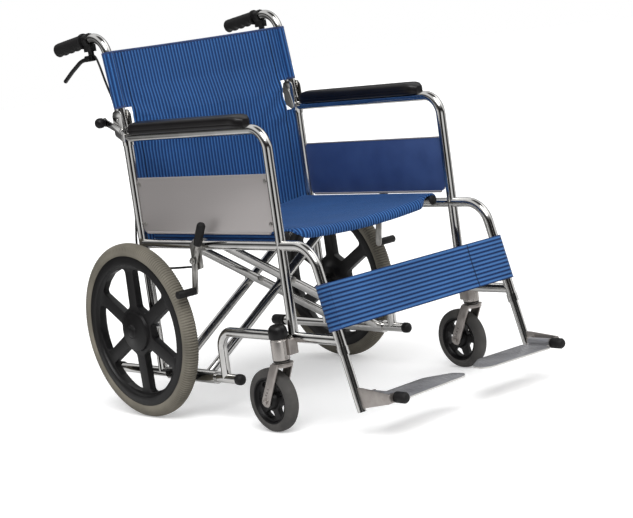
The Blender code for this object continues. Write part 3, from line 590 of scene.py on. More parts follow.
def wrapped(piece, start, end):
    """Give a round piece a map: once round its line across, and up it along."""
    run = end - start
    length = run.length
    run.normalize()
    side = run.cross(Vector((1, 0, 0))).normalized()
    other = run.cross(side)
    layer = piece.data.uv_layers.active or piece.data.uv_layers.new(name="UVMap")
    for face in piece.data.polygons:
        first = None
        for loop in face.loop_indices:
            off = piece.data.vertices[piece.data.loops[loop].vertex_index].co - start
            share = atan2(off.dot(side), off.dot(other)) / (2 * pi)
            if first is None:
                first = share
            share += round(first - share)
            layer.data[loop].uv = (share, off.dot(run) / length)
    return piece


# ---- Frame tubes, on each side

STEP_Y = -0.062
RAIL_LINE = [(POST_Y, RAIL_Z), (RAIL_FRONT_Y, RAIL_Z), hanger(0.174)]
COLLAR_LINE = [hanger(0.190), hanger(0.173)]
LOWER_LINE = [hanger(LOWER_Z), (STEP_Y, LOWER_Z), (STEP_Y, BASE_Z)]
POST_LINE = [(POST_Y, BASE_Z), (POST_Y, 0.664)]
ARM_LINE = [(POST_Y, ARM_Z), (FRONT_POST_Y, ARM_Z), (FRONT_POST_Y, RAIL_Z)]
FRONT_LINE = [(FRONT_POST_Y, RAIL_Z), (FRONT_POST_Y, LOWER_Z)]
BASE_LINE = [(BASE_FRONT, BASE_Z), (BASE_REAR, BASE_Z)]
TUBES = (
    ("armrest_tube", "arm_tube", ARM_LINE, 0.045), ("front_upright", "front_post", FRONT_LINE, 0),
    ("lower_tube", "lower_rail", LOWER_LINE, 0.040), ("bottom_tube", "base_tube", BASE_LINE, 0),
    ("back_upright", "back_post", POST_LINE, 0))
CANE_LINE = [CANE_FOOT, CANE_BEND, HANDLE_END]
SLIDER_LINE = [hanger(0.210), hanger(0.054)]
COLLAR_RADIUS = 0.0122
SLIDER_RADIUS = 0.0096

# Profiles of turned pieces, as radius and height in mm
HOUSING = [
    (0, 160), (17.2, 160), (18.8, 161.6), (19, 164), (19, 202.5), (18.2, 203.5), (18.2, 205.5),
    (19, 206.5), (0, 207)]
SEAL = [(6, 160.2), (17.8, 160.2), (18.2, 159.4), (17.8, 158.2), (6, 158.2)]
PLUG = [(0, 16), (4, 15.8), (9, 14.2), (11.9, 10.8), (12.6, 7.5), (12.6, -1), (11.2, -1), (0, -1)]
TIPPING_PAD = [
    (0, 32), (5, 31.6), (10, 29.5), (13, 25.5), (13.6, 21), (13.6, -4), (13, -4.5), (13, -6.5),
    (13.6, -7), (13.6, -18), (11.2, -18), (0, -18)]

for label, side in SIDES:
    for name, node, line, bend in TUBES:
        hung(label, side_tube(side, line, TUBE, bend), name, CHROME, node)
    rail = together(side_tube(side, RAIL_LINE, TUBE, 0.060),
                    side_tube(side, COLLAR_LINE, COLLAR_RADIUS))
    hung(label, rail, "seat_rail", CHROME, "leg_rail")
    saddles = dressed(f"leg_rail_{label}", 0.0006, away_from(side, RAIL_LINE[:2], 0.0128))
    hung(label, saddles, "seat_saddles", ZINC)

    stem = at(side, CASTER[0], CASTER_STEM_Y, 0)
    housing = smoothed(turned(HOUSING, stem, (0, 0, 1)))
    weld = at(side, WIDE + 0.0145, CASTER_STEM_Y - 0.009, 0.187)
    bracket = block(weld, (0.0245, 0.030, 0.0345), 0.002)
    hung(label, housing, "caster_housing", TURNED)
    hung(label, bracket, "housing_bracket", CAST)
    seal = smoothed(turned(SEAL, stem, (0, 0, 1), 40, ring=True))
    hung(label, seal, "swivel_seal", PVC)

    front = smoothed(turned(PLUG, at(side, WIDE, BASE_FRONT, BASE_Z), (0, -1, 0), 40))
    rear = smoothed(turned(TIPPING_PAD, at(side, WIDE, BASE_REAR, BASE_Z), (0, 1, 0), 40))
    hung(label, together(front, rear), "tube_plugs", PVC)

    fittings = dressed(f"back_post_{label}", 0.0006, away_from(side, POST_LINE, 0.0117))
    hung(label, fittings, "hinge_plates", CHROME)
    hung(label, side_tube(side, CANE_LINE, TUBE, 0.050), "push_cane", CHROME, "back_cane",
         body="cane")

    hung(label, side_tube(side, SLIDER_LINE, SLIDER_RADIUS), "footrest_tube", CHROME, "leg_tube")
    shoe = dressed(f"leg_tube_{label}", 0.0005, away_from(side, SLIDER_LINE, 0.0100))
    hung(label, shoe, "footrest_bracket", CAST)

# ---- Cross braces

# Just short of the solid's end, so that the folded tube clears the armrest's bend
TUBE_FRONT = -0.2930
TUBE_REAR = 0.160
SLEEVE_RADIUS = 0.0151
BAR_RADIUS = 0.0106
TUBE_END = [(0, 3.5), (8.5, 3), (11.2, 0.8), (11.2, -1), (0, -1)]
BACK = Vector((0, 1, 0))

for letter, side, bars, sleeve in (("a", -1, (0.130, 0.010), (-0.030, 0.150)),
                                   ("b", 1, (0.105, -0.015), (-0.035, 0.125))):
    body = f"brace_{letter}"
    foot, head = at(side, WIDE, 0, BASE_Z), at(-side, SEAT_TUBE[0], 0, SEAT_TUBE[1])
    parts = [bent_tube([foot + BACK * y for y in sleeve], SLEEVE_RADIUS),
             bent_tube([head + BACK * y for y in (TUBE_FRONT, TUBE_REAR)], TUBE)]
    parts += [bent_tube([foot + BACK * y, head + BACK * y], BAR_RADIUS) for y in bars]
    placed(together(*parts), f"cross_tubes_{letter}", body, CHROME, body)
    plugs = [turned(TUBE_END, head + BACK * y, (0, way, 0), 32)
             for y, way in ((TUBE_FRONT, -1), (TUBE_REAR, 1))]
    placed(smoothed(together(*plugs)), f"seat_tube_plugs_{letter}", body, PVC)
for place in ("front", "rear"):
    node = f"pivot_bolt_{place}"
    placed(dressed(node, 0.0005), f"cross_bolt_{place}", "brace_a", ZINC, node)

# ---- Wheels

# Profiles of the wheels in mm; those of the tyres and the caster are halves
TYRE = [
    (177.3, 15), (179.5, 16.8), (183, 17.8), (188, 18), (193.5, 17.2), (198.5, 15), (202.2, 11.5),
    (204.2, 7.2), (205, 2.6)]
HUB = [
    (0, 27), (15, 26.8), (16.5, 25), (18.5, 23.2), (40, 20), (46.5, 17), (48, 10.5), (60, 9.8),
    (130, 8.2), (150, 8.4), (154.5, 12), (156, 15.5), (160, 16.5), (170, 16.5), (177.2, 15),
    (177.2, -15), (170, -16.2), (160, -16), (156, -15), (151, -8), (48, -8), (32, -20), (30, -23.8),
    (0, -23.8)]
HUB_CAP = [(0, 30), (6, 29.7), (10.5, 28.3), (12.5, 26.2), (12.5, 24), (0, 24)]
CASTER_TYRE = [
    (50.5, 13), (52.5, 15), (56, 15.7), (61, 15.2), (65.5, 13.2), (68.5, 9.8), (69.7, 5.5),
    (70, 1.5)]
CASTER_HUB = [
    (0, 18.3), (11, 18.3), (15, 17), (18.5, 13), (20.5, 6.2), (44.5, 5.8), (47, 9), (48, 14),
    (50.6, 14.8)]
DOME = [
    (0, 30.8), (4.5, 30.4), (5, 29), (8.8, 28.7), (9.4, 30), (14, 28.3), (18, 24.5), (20, 19.5),
    (20.6, 15), (20.6, 2), (19.8, 0.3), (0, 0.3)]
DOME_Z = 0.207
CROWN_RADIUS, CROWN_RAMP, GROOVE_DEPTH = 0.187, 0.008, 0.0022
FORK_LEG_Z, FORK_RUN_Z, FORK_FLARE = 0.135, 0.088, 1.16
FORK_HOLES = ((-0.2735, 0.0985), (-0.2685, 0.0905), (-0.2640, 0.0845))


def window(inner, outer, half_angle, rounding, steps=5):
    """Outline of one opening between two spokes, centred on the first axis."""
    def polar(radius, angle):
        return Vector((radius * cos(angle), radius * sin(angle)))

    narrow, middle = half_angle * 0.62, half_angle * 0.45
    ring = [polar(inner, -narrow), polar(outer, -half_angle),
            polar(outer, -middle) * 1.015, polar(outer, 0) * 1.03, polar(outer, middle) * 1.015,
            polar(outer, half_angle), polar(inner, narrow)]
    outline = []
    for k, corner in enumerate(ring):
        centre, start, end, turn = fillet(ring[k - 1], corner, ring[(k + 1) % len(ring)], rounding,
                                          0.45)
        for step in range(steps + 1):
            share = step / steps
            outline.append(centre + (start - centre) * (sin((1 - share) * turn) / sin(turn))
                           + (end - centre) * (sin(share * turn) / sin(turn)))
    return outline


def spoked(profile, centre, axis, steps, count, outline, depth, edge):
    """A turned wheel with its windows cut through and every rim softened."""
    wheel = turned(profile, centre, axis, steps)
    cutters = []
    for k in range(count):
        turn = Matrix.Rotation(2 * pi * k / count, 4, "X")
        cutters.append(slab(outline, depth, Matrix.Translation(centre) @ turn @ SIDE_ON))
    carved(wheel, together(*cutters))
    editing(wheel)
    bpy.ops.mesh.remove_doubles(threshold=1e-5)
    bpy.ops.mesh.dissolve_limited(angle_limit=radians(0.3))
    done(wheel)
    return smoothed(softened(wheel, edge, 3, 45), 40)


def ribbed_tyre(centre, axis):
    """A tyre with a fine rib across its crown every 6.5 mm, as solid grey tyres have."""
    tyre = turned(both_ways(TYRE), centre, axis, 2 * RIBS, ring=True)
    for vertex in tyre.data.vertices:
        off = vertex.co - centre
        radius = hypot(off.y, off.z)
        if radius > CROWN_RADIUS and round(atan2(off.z, off.y) / (pi / RIBS)) % 2:
            share = min(1.0, (radius - CROWN_RADIUS) / CROWN_RAMP)
            sink = 1 - GROOVE_DEPTH / radius * share
            vertex.co = centre + Vector((off.x, off.y * sink, off.z * sink))
    return smoothed(tyre, 30)


def pressed_fork(label, side):
    """The fork with its legs flared to the axle, three holes by the axle and its nuts."""
    fork = dressed(f"caster_fork_{label}", 0.0009)
    for vertex in fork.data.vertices:
        if vertex.co.z < FORK_LEG_Z:
            share = (vertex.co.z - CASTER[2]) / FORK_RUN_Z
            line = ORIGIN_Y + CASTER[1] + (CASTER_STEM_Y - CASTER[1]) * share
            vertex.co.y = line + (vertex.co.y - line) * FORK_FLARE
    holes = [stub(at(side, CASTER[0] - 0.03, y, z), at(side, CASTER[0] + 0.03, y, z),
                  0.0020, 0.0001, 16) for y, z in FORK_HOLES]
    carved(fork, together(*holes))
    nuts = [bolt(at(side, CASTER[0] + way * 0.0226, *CASTER[1:]), (side * way, 0, 0), 0.0062)
            for way in (-1, 1)]
    return together(smoothed(fork, 40), *nuts)


for label, side in SIDES:
    centre, axis = at(side, *WHEEL), (side, 0, 0)
    hung(label, ribbed_tyre(centre, axis), "ribbed_tyre", GREY_RUBBER, "rear_tyre", body="wheel")
    opening = window(0.0575, 0.1470, radians(24.2), 0.009)
    wheel = spoked(HUB, centre, axis, 96, 6, opening, 0.06, 0.0016)
    cap = smoothed(turned(HUB_CAP, centre, axis, 40))
    hung(label, together(wheel, cap), "spoked_wheel", NYLON, "rear_hub", body="wheel")

    centre = at(side, *CASTER)
    tyre = smoothed(turned(both_ways(CASTER_TYRE), centre, axis, 72, ring=True), 40)
    hung(label, tyre, "caster_tyre", DARK_RUBBER, "caster_wheel", body="caster")
    opening = window(0.0250, 0.0425, radians(24), 0.0036)
    disc = spoked(both_ways(CASTER_HUB), centre, axis, 72, 5, opening, 0.05, 0.0009)
    hung(label, disc, "caster_disc", NYLON, body="caster")
    hung(label, pressed_fork(label, side), "fork", CAST, "caster_fork", body="swivel")
    cap = turned(DOME, at(side, CASTER[0], CASTER_STEM_Y, DOME_Z), (0, 0, 1))
    hung(label, smoothed(cap, 50), "bearing_cap", NYLON, "caster_cap")

# ---- Footplates

# Low ribs along the tread, where the casting grips a sole: y, inner and outer end
TREAD_RIBS = ((-0.592, 0.052, 0.205), (-0.581, 0.038, 0.214), (-0.570, 0.036, 0.214),
              (-0.559, 0.038, 0.214), (-0.548, 0.042, 0.214), (-0.537, 0.054, 0.214),
              (-0.526, 0.070, 0.210))
RIB_Z, TREAD_Z = 0.0841, 0.0838

for label, side in SIDES:
    plate = dressed(f"footplate_{label}", 0.0007)
    ribs = [block(at(side, (inner + outer) / 2, y, RIB_Z), (outer - inner, 0.0026, 0.0012), 0.0004)
            for y, inner, outer in TREAD_RIBS]
    together(plate, *ribs)
    # The sides and underside get the bright colour of a painted highlight, and the top gets the
    # tread
    two_faced(plate, EDGE_HIGHLIGHT_PAINT, TREAD, lambda face: face.center.z > TREAD_Z)
    hung(label, plate, "foot_tread", None, "footplate", body="foot")
    hung(label, dressed(f"footrest_cap_{label}", 0.0008), "rod_end_cap", PVC, "footrest_cap")

# ---- Armrests and skirts

PAD_LOW, PAD_HIGH = 0.6555, 0.6835
PAD_FRONT, PAD_REAR = -0.259, 0.155
PAD_HALF = 0.0252
PAD_NOSE = 0.030
SKIRT_LOW, SKIRT_HIGH = 0.425, 0.5520
SCREW_HEIGHTS = (0.538, 0.446)


def moulded_pad(side):
    """An arm pad: a cube, divided and drawn to a long rounded cushion with a crowned top."""
    bpy.ops.mesh.primitive_cube_add(size=2)
    piece = bpy.context.object
    editing(piece)
    bpy.ops.mesh.subdivide(number_cuts=23)
    done(piece)
    reach = (PAD_REAR - PAD_FRONT) / 2
    for vertex in piece.data.vertices:
        a, b, c = vertex.co
        b = sin(b * pi / 2)
        # The ends are drawn in over the nose, and a groove runs along each side
        near_end = max(0.0, abs(b) * reach - (reach - PAD_NOSE)) / PAD_NOSE
        plan = max((1 - near_end ** 2.4) ** 0.5 if near_end < 1 else 0.0, 0.34)
        section = 1 - 0.16 * abs(c) ** 3 - 0.045 * exp(-((c + 0.30) / 0.09) ** 2)
        crown = 0.5 * (c + 1)
        droop = 0.0085 * near_end ** 2 + (0.0020 * near_end if b < 0 else 0.0)
        top = PAD_HIGH - 0.0022 * a * a - droop
        x = PAD_HALF * a * plan * section * (1.0 + 0.05 * (1 - crown))
        z = PAD_LOW + (top - PAD_LOW) * crown
        vertex.co = at(side, WIDE, 0, z) + Vector((x, PAD_FRONT + (b + 1) * reach, 0))
    softened(sealed(piece), 0.0060, 4, 50)
    return smoothed(piece, 60)


def skirt_sheet(label, side):
    """The side panel with its hemmed edges, and a painted reflection of the blue cloth on its inner
    face.
    """
    sheet = dressed(f"skirt_panel_{label}", 0.0004)
    front, rear, hem_z = FRONT_POST_Y + 0.018, POST_Y - 0.014, SKIRT_LOW + 0.0012
    hem = side_tube(side, [(front + 0.012, hem_z), (rear - 0.010, hem_z)], 0.0028)
    brow = side_tube(side, [(front - 0.003, SKIRT_HIGH), (rear - 0.002, SKIRT_HIGH)], 0.0017)
    # The inner face gets the painted reflection of the blue cloth, and the rest is brushed sheet
    return two_faced(together(sheet, hem, brow), SHEET_METAL, BLUE_REFLECTION_PAINT, lambda face: (
        face.normal.x * side < -0.5 and SKIRT_LOW + 0.0035 < face.center.z < SKIRT_HIGH - 0.0020))


for label, side in SIDES:
    hung(label, moulded_pad(side), "arm_cushion", PAD_SKIN, "arm_pad")
    hung(label, skirt_sheet(label, side), "skirt_sheet", None, "skirt_panel")
    screws = [bolt(at(side, WIDE + 0.0009, y, z), (side, 0, 0), 0.0034)
              for y in (FRONT_POST_Y + 0.022, POST_Y - 0.020) for z in SCREW_HEIGHTS]
    screws.append(bolt(at(side, WIDE + 0.0108, FRONT_POST_Y, LOWER_Z), (side, 0, 0), 0.0046))
    hung(label, together(*screws), "skirt_screws", ZINC)

# ---- Handles and brakes

GRIP_FRONT, GRIP_REAR = 0.292, 0.408
GRIP_RADIUS = 0.0160
FINGERS = 4
FINGERS_START, FINGERS_SPAN, FINGERS_STOP = 0.08, 0.89, 0.97
KNOB = [
    (0, 26.2), (4.5, 25.7), (9.2, 23.2), (11.6, 19), (12.2, 14), (11.6, 9), (9.2, 4.5), (6, 1.6),
    (0, 1.6)]


def finger_grip(side):
    """A handle grip: a turned sleeve whose underside is drawn in between the fingers."""
    slope = (HANDLE_END[1] - CANE_BEND[1]) / (HANDLE_END[0] - CANE_BEND[0])
    start = at(side, WIDE, GRIP_FRONT, CANE_BEND[1] + (GRIP_FRONT - CANE_BEND[0]) * slope)
    run = Vector((0, 1, slope)).normalized()
    length = (GRIP_REAR - GRIP_FRONT) / run.y
    profile = [(0, length), (0.008, length - 0.0003), (0.0125, length - 0.0018),
               (0.0156, length - 0.005)]
    for k in range(61):
        profile.append((GRIP_RADIUS, length - 0.0085 - k / 60 * (length - 0.0175)))
    profile += [(0.0158, 0.0075), (0.0180, 0.0062), (0.0186, 0.0040), (0.0186, 0.0012),
                (0.0176, 0), (0, 0)]
    grip = turned(profile, start, run, 56, unit=1)
    for vertex in grip.data.vertices:
        off = vertex.co - start
        share = off.dot(run) / length
        ray = off - run * off.dot(run)
        if FINGERS_START < share < FINGERS_STOP and ray.length > GRIP_RADIUS / 2:
            under = max(0.0, -ray.normalized().z)
            turns = FINGERS * (share - FINGERS_START) / FINGERS_SPAN
            wave = 0.5 + 0.5 * cos(2 * pi * turns)
            ray *= 1 - 0.14 * under ** 1.5 * (1 - wave) + 0.08 * under ** 2 * wave
            ridge = 0.0002 * sin(2 * pi * share * 46)
            ray += ray.normalized() * ridge * (1 - under)
            vertex.co = start + run * off.dot(run) + ray
    return smoothed(grip, 50)


for label, side in SIDES:
    outward = (side, 0, 0)
    hung(label, finger_grip(side), "finger_grip", PVC, "hand_grip", body="cane")
    clamp = dressed(f"hand_brake_body_{label}", 0.0010)
    together(clamp, bolt(at(side, WIDE + 0.0084, 0.272, 0.838), outward, 0.0040, False))
    hung(label, clamp, "lever_clamp", NYLON, "hand_brake_body", body="cane")
    lever = dressed(f"hand_brake_lever_{label}", 0.0008, None, 50)
    hung(label, lever, "squeeze_lever", NYLON, "hand_brake_lever", body="hand_lever")

    latch = dressed(f"back_latch_{label}", 0.0006, lambda point: abs(point.x) < WIDE + 0.0180)
    hung(label, latch, "latch_plate", CHROME, "back_latch", body="latch")
    knob = smoothed(turned(KNOB, at(side, WIDE + 0.016, 0.235, 0.688), outward, 40), 50)
    hung(label, knob, "latch_knob", NYLON, body="latch")

    plate = dressed(f"brake_bracket_{label}", 0.0007)
    together(plate, bolt(at(side, WIDE + 0.0300, -0.040, 0.368), outward, 0.0058),
             bolt(at(side, WIDE + 0.0185, -0.049, 0.397), outward, 0.0034))
    hung(label, plate, "park_brake_plate", ZINC, "brake_bracket")
    arm = dressed(f"brake_lever_{label}", 0.0006)
    hung(label, arm, "park_brake_arm", ZINC, "brake_lever", body="park_brake")
    for part in ("grip", "shoe"):
        hung(label, dressed(f"brake_{part}_{label}", 0.0010), f"park_brake_{part}", PVC,
             f"brake_{part}", body="park_brake")

# ---- Brake cables

# In mm out from the side frame's plane, to the rear and up
CABLE_ROUTE = [
    (0, 263.7, 843), (0, 260.5, 842), (0, 253.5, 835), (0, 244, 814), (0, 231, 778), (0, 216, 742),
    (0, 210.5, 716), (0, 206, 690), (0, 201.5, 665), (0, 196, 640), (0, 194.5, 610), (0, 194, 540),
    (0, 194, 470), (4, 193.8, 440), (10, 191, 415), (14.5, 186.5, 393), (16.5, 176, 372),
    (16.5, 156, 356), (16.5, 125, 349), (16.5, 80, 347), (16.5, 30, 349), (16.5, 0, 351),
    (16.5, -21.7, 352)]
CABLE_WIDTH = 0.005


def smooth_line(points, steps=6):
    """A Catmull-Rom line through points, for whatever hangs or lies in easy curves."""
    ends = [points[0] * 2 - points[1], *points, points[-1] * 2 - points[-2]]
    line = []
    for k in range(1, len(ends) - 2):
        a, b, c, d = ends[k - 1:k + 3]
        for step in range(steps):
            t = step / steps
            line.append(0.5 * (2 * b + (c - a) * t + (2 * a - 5 * b + 4 * c - d) * t * t
                               + (3 * b - a - 3 * c + d) * t ** 3))
    return [*line, points[-1]]


def cord_along(points, radius, name, finish):
    """A round cord along points, as a mesh."""
    data = bpy.data.curves.new(name, "CURVE")
    data.dimensions = "3D"
    data.bevel_depth = radius
    data.bevel_resolution = 4
    data.use_fill_caps = True
    spline = data.splines.new("POLY")
    spline.points.add(len(points) - 1)
    for point, place in zip(spline.points, points):
        point.co = (*place, 1)
    only(linked(name, data))
    bpy.ops.object.convert(target="MESH")
    piece = smoothed(sealed(bpy.context.object), 60)
    piece.name = piece.data.name = name
    return coated(piece, finish)


for label, side in SIDES:
    route = [at(side, WIDE + u / 1000, y / 1000, z / 1000) for u, y, z in CABLE_ROUTE]
    route = smooth_line(route)
    piece = cord_along(route, CABLE_WIDTH / 2, f"brake_cable_run_{label}", CABLE_JACKET)
    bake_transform(piece)
    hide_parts(f"brake_cable_{label}")
    length = sum((b - a).length for a, b in zip(route, route[1:]))
    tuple(route[0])

# ---- Upholstery

ACROSS = Vector((1, 0, 0))
CANE_RUN = (Vector((0, *CANE_BEND)) - Vector((0, *CANE_FOOT))).normalized()
CANE_FACE = ACROSS.cross(CANE_RUN)
BACK_TOP = 0.1568
BACK_FOOT_Z = 0.405
PANEL_HALF = 0.2490
BACK_THICK = 0.0036
# The notches round the hinges: their inner edge, and the heights of their top and foot
NOTCH_HALF, NOTCH_TOP, NOTCH_FOOT = 0.2255, 0.7165, 0.6420
BINDING_STEPS = 24
# How far the hems stand out from their sleeves
TAPE = 0.0003


def creased(x, rise):
    """Soft folds that fan from the hinges across the cloth, by the height over the hinge line."""
    inside = PANEL_HALF - abs(x)
    slant = 0.62 if x > 0 else 0.45
    fan = sin((rise * 0.8 + inside * slant) * 2 * pi / 0.047 + 0.9)
    near = exp(-(inside / 0.105) ** 2) * exp(-((rise + 0.02) / 0.062) ** 2)
    return 0.0024 * fan * near


def upper_back(a, b):
    """Taut at the hinge line and hollowed a little between the canes higher up."""
    x = (2 * a - 1) * PANEL_HALF
    up = b * BACK_TOP
    hollow = 0.011 * (1 - (x / PANEL_HALF) ** 2) * min(1.0, up / 0.07) ** 1.3
    ripple = 0.0006 * noise(Vector((x * 18, up * 7, 1.7))) * min(1.0, up / 0.02)
    flat = at(1, 0, *HINGE) + ACROSS * x + CANE_RUN * up
    return flat - CANE_FACE * (hollow + creased(x, up) + ripple)


def lower_back(a, b):
    """From the hinge line down behind the seat, between the posts."""
    x = (2 * a - 1) * PANEL_HALF * (0.9985 if b > 0.8 else 1.0)
    z = BACK_FOOT_Z + b * (HINGE[1] - BACK_FOOT_Z)
    drop = HINGE[1] - z
    y = HINGE[0] - 0.008 * min(1.0, drop / 0.062) - 0.001 * min(1.0, drop / 0.28)
    hollow = 0.010 * (1 - (x / PANEL_HALF) ** 2) * min(1.0, drop / 0.08) ** 1.3
    ripple = 0.0008 * noise(Vector((x * 16, z * 6, 4.1))) * min(1.0, drop / 0.02)
    return at(1, 0, y + hollow + creased(x, -drop) + ripple, z) + ACROSS * x


def squashed(piece):
    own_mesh(piece)


def cloth(columns, rows, shape, thickness, finish, backed, notch=None):
    """A grid of cloth, moved by a function of the shares across and along, backed where told.

    The notch is the heights between which the cloth beside the hinges is taken out.
    """
    bpy.ops.mesh.primitive_grid_add(x_subdivisions=columns, y_subdivisions=rows, size=1,
                                    calc_uvs=True)
    piece = bpy.context.object
    for vertex in piece.data.vertices:
        vertex.co = shape(vertex.co.x + 0.5, vertex.co.y + 0.5)
    if notch:
        low, high = notch
        without(piece, lambda face: low < face.center.z < high and abs(face.center.x) > NOTCH_HALF)
    modified(piece, "SOLIDIFY", thickness=thickness, offset=0.0)
    return two_faced(smoothed(sealed(piece), 60), finish, BACKING, backed)


def to_the_rear(face):
    return face.normal.y > 0.5


def hemmed(label, foot, run, span, hem, radius, finish, names, body):
    """A sleeve of cloth round a tube, with a hem of tape past and over each end."""
    (low, high), (past, over) = span, hem
    ends = [foot + run * low, foot + run * high]
    hung(label, wrapped(bent_tube(ends, radius, 0.0, 36), *ends), names[0], finish, body=body)
    hems = [bent_tube([foot + run * start, foot + run * end], radius + TAPE, 0.0, 36)
            for start, end in ((low - past, low + over), (high - over, high + past))]
    hung(label, together(*hems), names[1], BINDING, body=body)


upper = cloth(112, 36, upper_back, BACK_THICK, BACK_CLOTH, to_the_rear, (0.0, NOTCH_TOP))
placed(upper, "back_cloth_upper", "cane_right", None, "back_sling_upper")
lower = cloth(112, 60, lower_back, BACK_THICK, BACK_CLOTH, to_the_rear, (NOTCH_FOOT, 1.0))
placed(lower, "back_cloth_lower", "right_frame", None, "back_sling_lower")

# A bound edge runs along the top of the back
top_edge = [upper_back(k / BINDING_STEPS, 1.0) for k in range(BINDING_STEPS + 1)]
binding = cord_along(top_edge, 0.0030, "back_top_binding", BINDING)
placed(binding, "back_top_binding", "cane_right", BINDING)

for label, side in SIDES:
    hemmed(label, at(side, WIDE, *HINGE), CANE_RUN, (0.0262, 0.1572), (0.0002, 0.0042), 0.0135,
           SLEEVE_CLOTH, ("back_sleeve", "sleeve_hems"), "cane")

for piece in (upper, lower, binding):
    squashed(piece)

SEAT_SAG = 0.014
SEAT_FRONT, SEAT_REAR = -0.303, 0.160
SEAT_WRAP = 0.0138
SEAT_STEPS = 64
# The front edge rolls down and under over this share of the length, and between the tubes alone
FRONT_ROLL, ROLLED = 0.0120, 0.075
ROLL_ANGLE = radians(130)
ROLL_HALF, ROLL_RAMP = 0.211, 0.040
# The corners of the cloth stop short of the tubes' ends
CORNER_BACK = 0.0140


def seat_section():
    """The seat's line across: up round the outside of one tube, over, down in a sag, and back."""
    x, z = SEAT_TUBE
    points = [(-x + SEAT_WRAP * cos(radians(a)), z + SEAT_WRAP * sin(radians(a)))
              for a in range(215, 90, -10)]
    for k in range(SEAT_STEPS + 1):
        place = -x + 2 * x * k / SEAT_STEPS
        points.append((place, z + SEAT_WRAP - SEAT_SAG * (1 - (place / x) ** 2)))
    points += [(-a, b) for a, b in points[12::-1]]
    lengths = [0.0]
    for (a, b), (c, d) in zip(points, points[1:]):
        lengths.append(lengths[-1] + hypot(c - a, d - b))
    return points, lengths


SECTION, SECTION_LENGTHS = seat_section()
SEAT_WIDTH = SECTION_LENGTHS[-1]


def along_section(share):
    target = share * SEAT_WIDTH
    k = bisect_left(SECTION_LENGTHS, target, 1, len(SECTION) - 1)
    start, end = SECTION_LENGTHS[k - 1:k + 1]
    part = (target - start) / (end - start)
    (a, b), (c, d) = SECTION[k - 1:k + 1]
    return a + (c - a) * part, b + (d - b) * part


def seat_shape(a, b):
    x, z = along_section(a)
    y = SEAT_FRONT + CORNER_BACK + b * (SEAT_REAR - SEAT_FRONT - CORNER_BACK)
    loose = max(0.0, min(1.0, (ROLL_HALF - abs(x)) / ROLL_RAMP))
    loose = loose * loose * (3 - 2 * loose)
    turn = max(0.0, 1 - b / ROLLED) * ROLL_ANGLE
    if b < ROLLED:
        rolled = SEAT_FRONT + FRONT_ROLL * (1 - sin(turn))
    else:
        flat = SEAT_REAR - SEAT_FRONT - FRONT_ROLL
        rolled = SEAT_FRONT + FRONT_ROLL + (b - ROLLED) / (1 - ROLLED) * flat
    drop = FRONT_ROLL * (1 - cos(turn)) * loose
    ripple = 0.0012 * noise(Vector((x * 9, y * 7, 2.2))) * loose * min(1.0, b / 0.1)
    return at(1, 0, y + (rolled - y) * loose, z - drop + ripple) + ACROSS * x


def under_the_seat(face):
    return face.normal.z < -0.6 and face.center.y > ORIGIN_Y + SEAT_FRONT + 0.012


seat = cloth(150, 100, seat_shape, 0.0045, SEAT_CLOTH, under_the_seat)
seat.name = seat.data.name = "seat_cloth"
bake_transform(seat)
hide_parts("seat_sling")

STRAP_LOW, STRAP_HIGH = 0.224, 0.320
STRAP_OFF = 0.0147
STRAP_SLACK = 0.0035
HANGER_RUN = Vector((0, *[b - a for a, b in zip(hanger(STRAP_LOW), hanger(STRAP_HIGH))]))
STRAP_WIDE = HANGER_RUN.length
HANGER_RUN.normalize()
HANGER_FACE = ACROSS.cross(HANGER_RUN)


def strap_shape(a, b):
    x = (2 * a - 1) * WIDE
    foot = at(1, 0, *hanger(STRAP_LOW))
    slack = STRAP_SLACK * (1 - (x / WIDE) ** 2) * cos((b - 0.5) * pi)
    ripple = 0.0007 * noise(Vector((x * 12, b * 2.0, 6.4)))
    off = HANGER_FACE * (STRAP_OFF - slack + ripple)
    return foot + ACROSS * x + HANGER_RUN * (b * STRAP_WIDE) + off


strap = cloth(120, 22, strap_shape, 0.0040, STRAP_CLOTH, to_the_rear)
placed(strap, "calf_band", "right_frame", None, "calf_strap")
squashed(strap)
for label, side in SIDES:
    hemmed(label, at(side, WIDE, *hanger(STRAP_LOW)), HANGER_RUN, (0, STRAP_WIDE),
           (0.0005, 0.0025), 0.0159, WRAP_CLOTH, ("calf_wrap", "wrap_hems"), "frame")


# ---- Floor, light and camera

# Past the white sweep stand black flags and soft boxes, which only the chrome mirrors
FLAGS = [
    (0.0, "#B8B8B8"), (0.06, "#181818"), (0.13, "#101010"), (0.17, "#FFFFFF"), (0.24, "#FFFFFF"),
    (0.28, "#3A3A3A"), (0.38, "#5A5A5A"), (0.44, "#FFFFFF"), (0.50, "#FFFFFF"), (0.54, "#141414"),
    (0.62, "#262626"), (0.66, "#F0F0F0"), (0.71, "#F0F0F0"), (0.75, "#4A4A4A"), (0.84, "#6E6E6E"),
    (0.89, "#FFFFFF"), (0.95, "#FFFFFF"), (1.0, "#B8B8B8")]
# Overhead, a dark ceiling round a wide soft box
CEILING = [
    (0.0, "#2A2A2A"), (0.34, "#303030"), (0.46, "#8C8C8C"), (0.60, "#FFFFFF"), (0.86, "#FFFFFF"),
    (0.95, "#505050")]
SWEEP_END, FLAGS_START = 0.9, 1.6

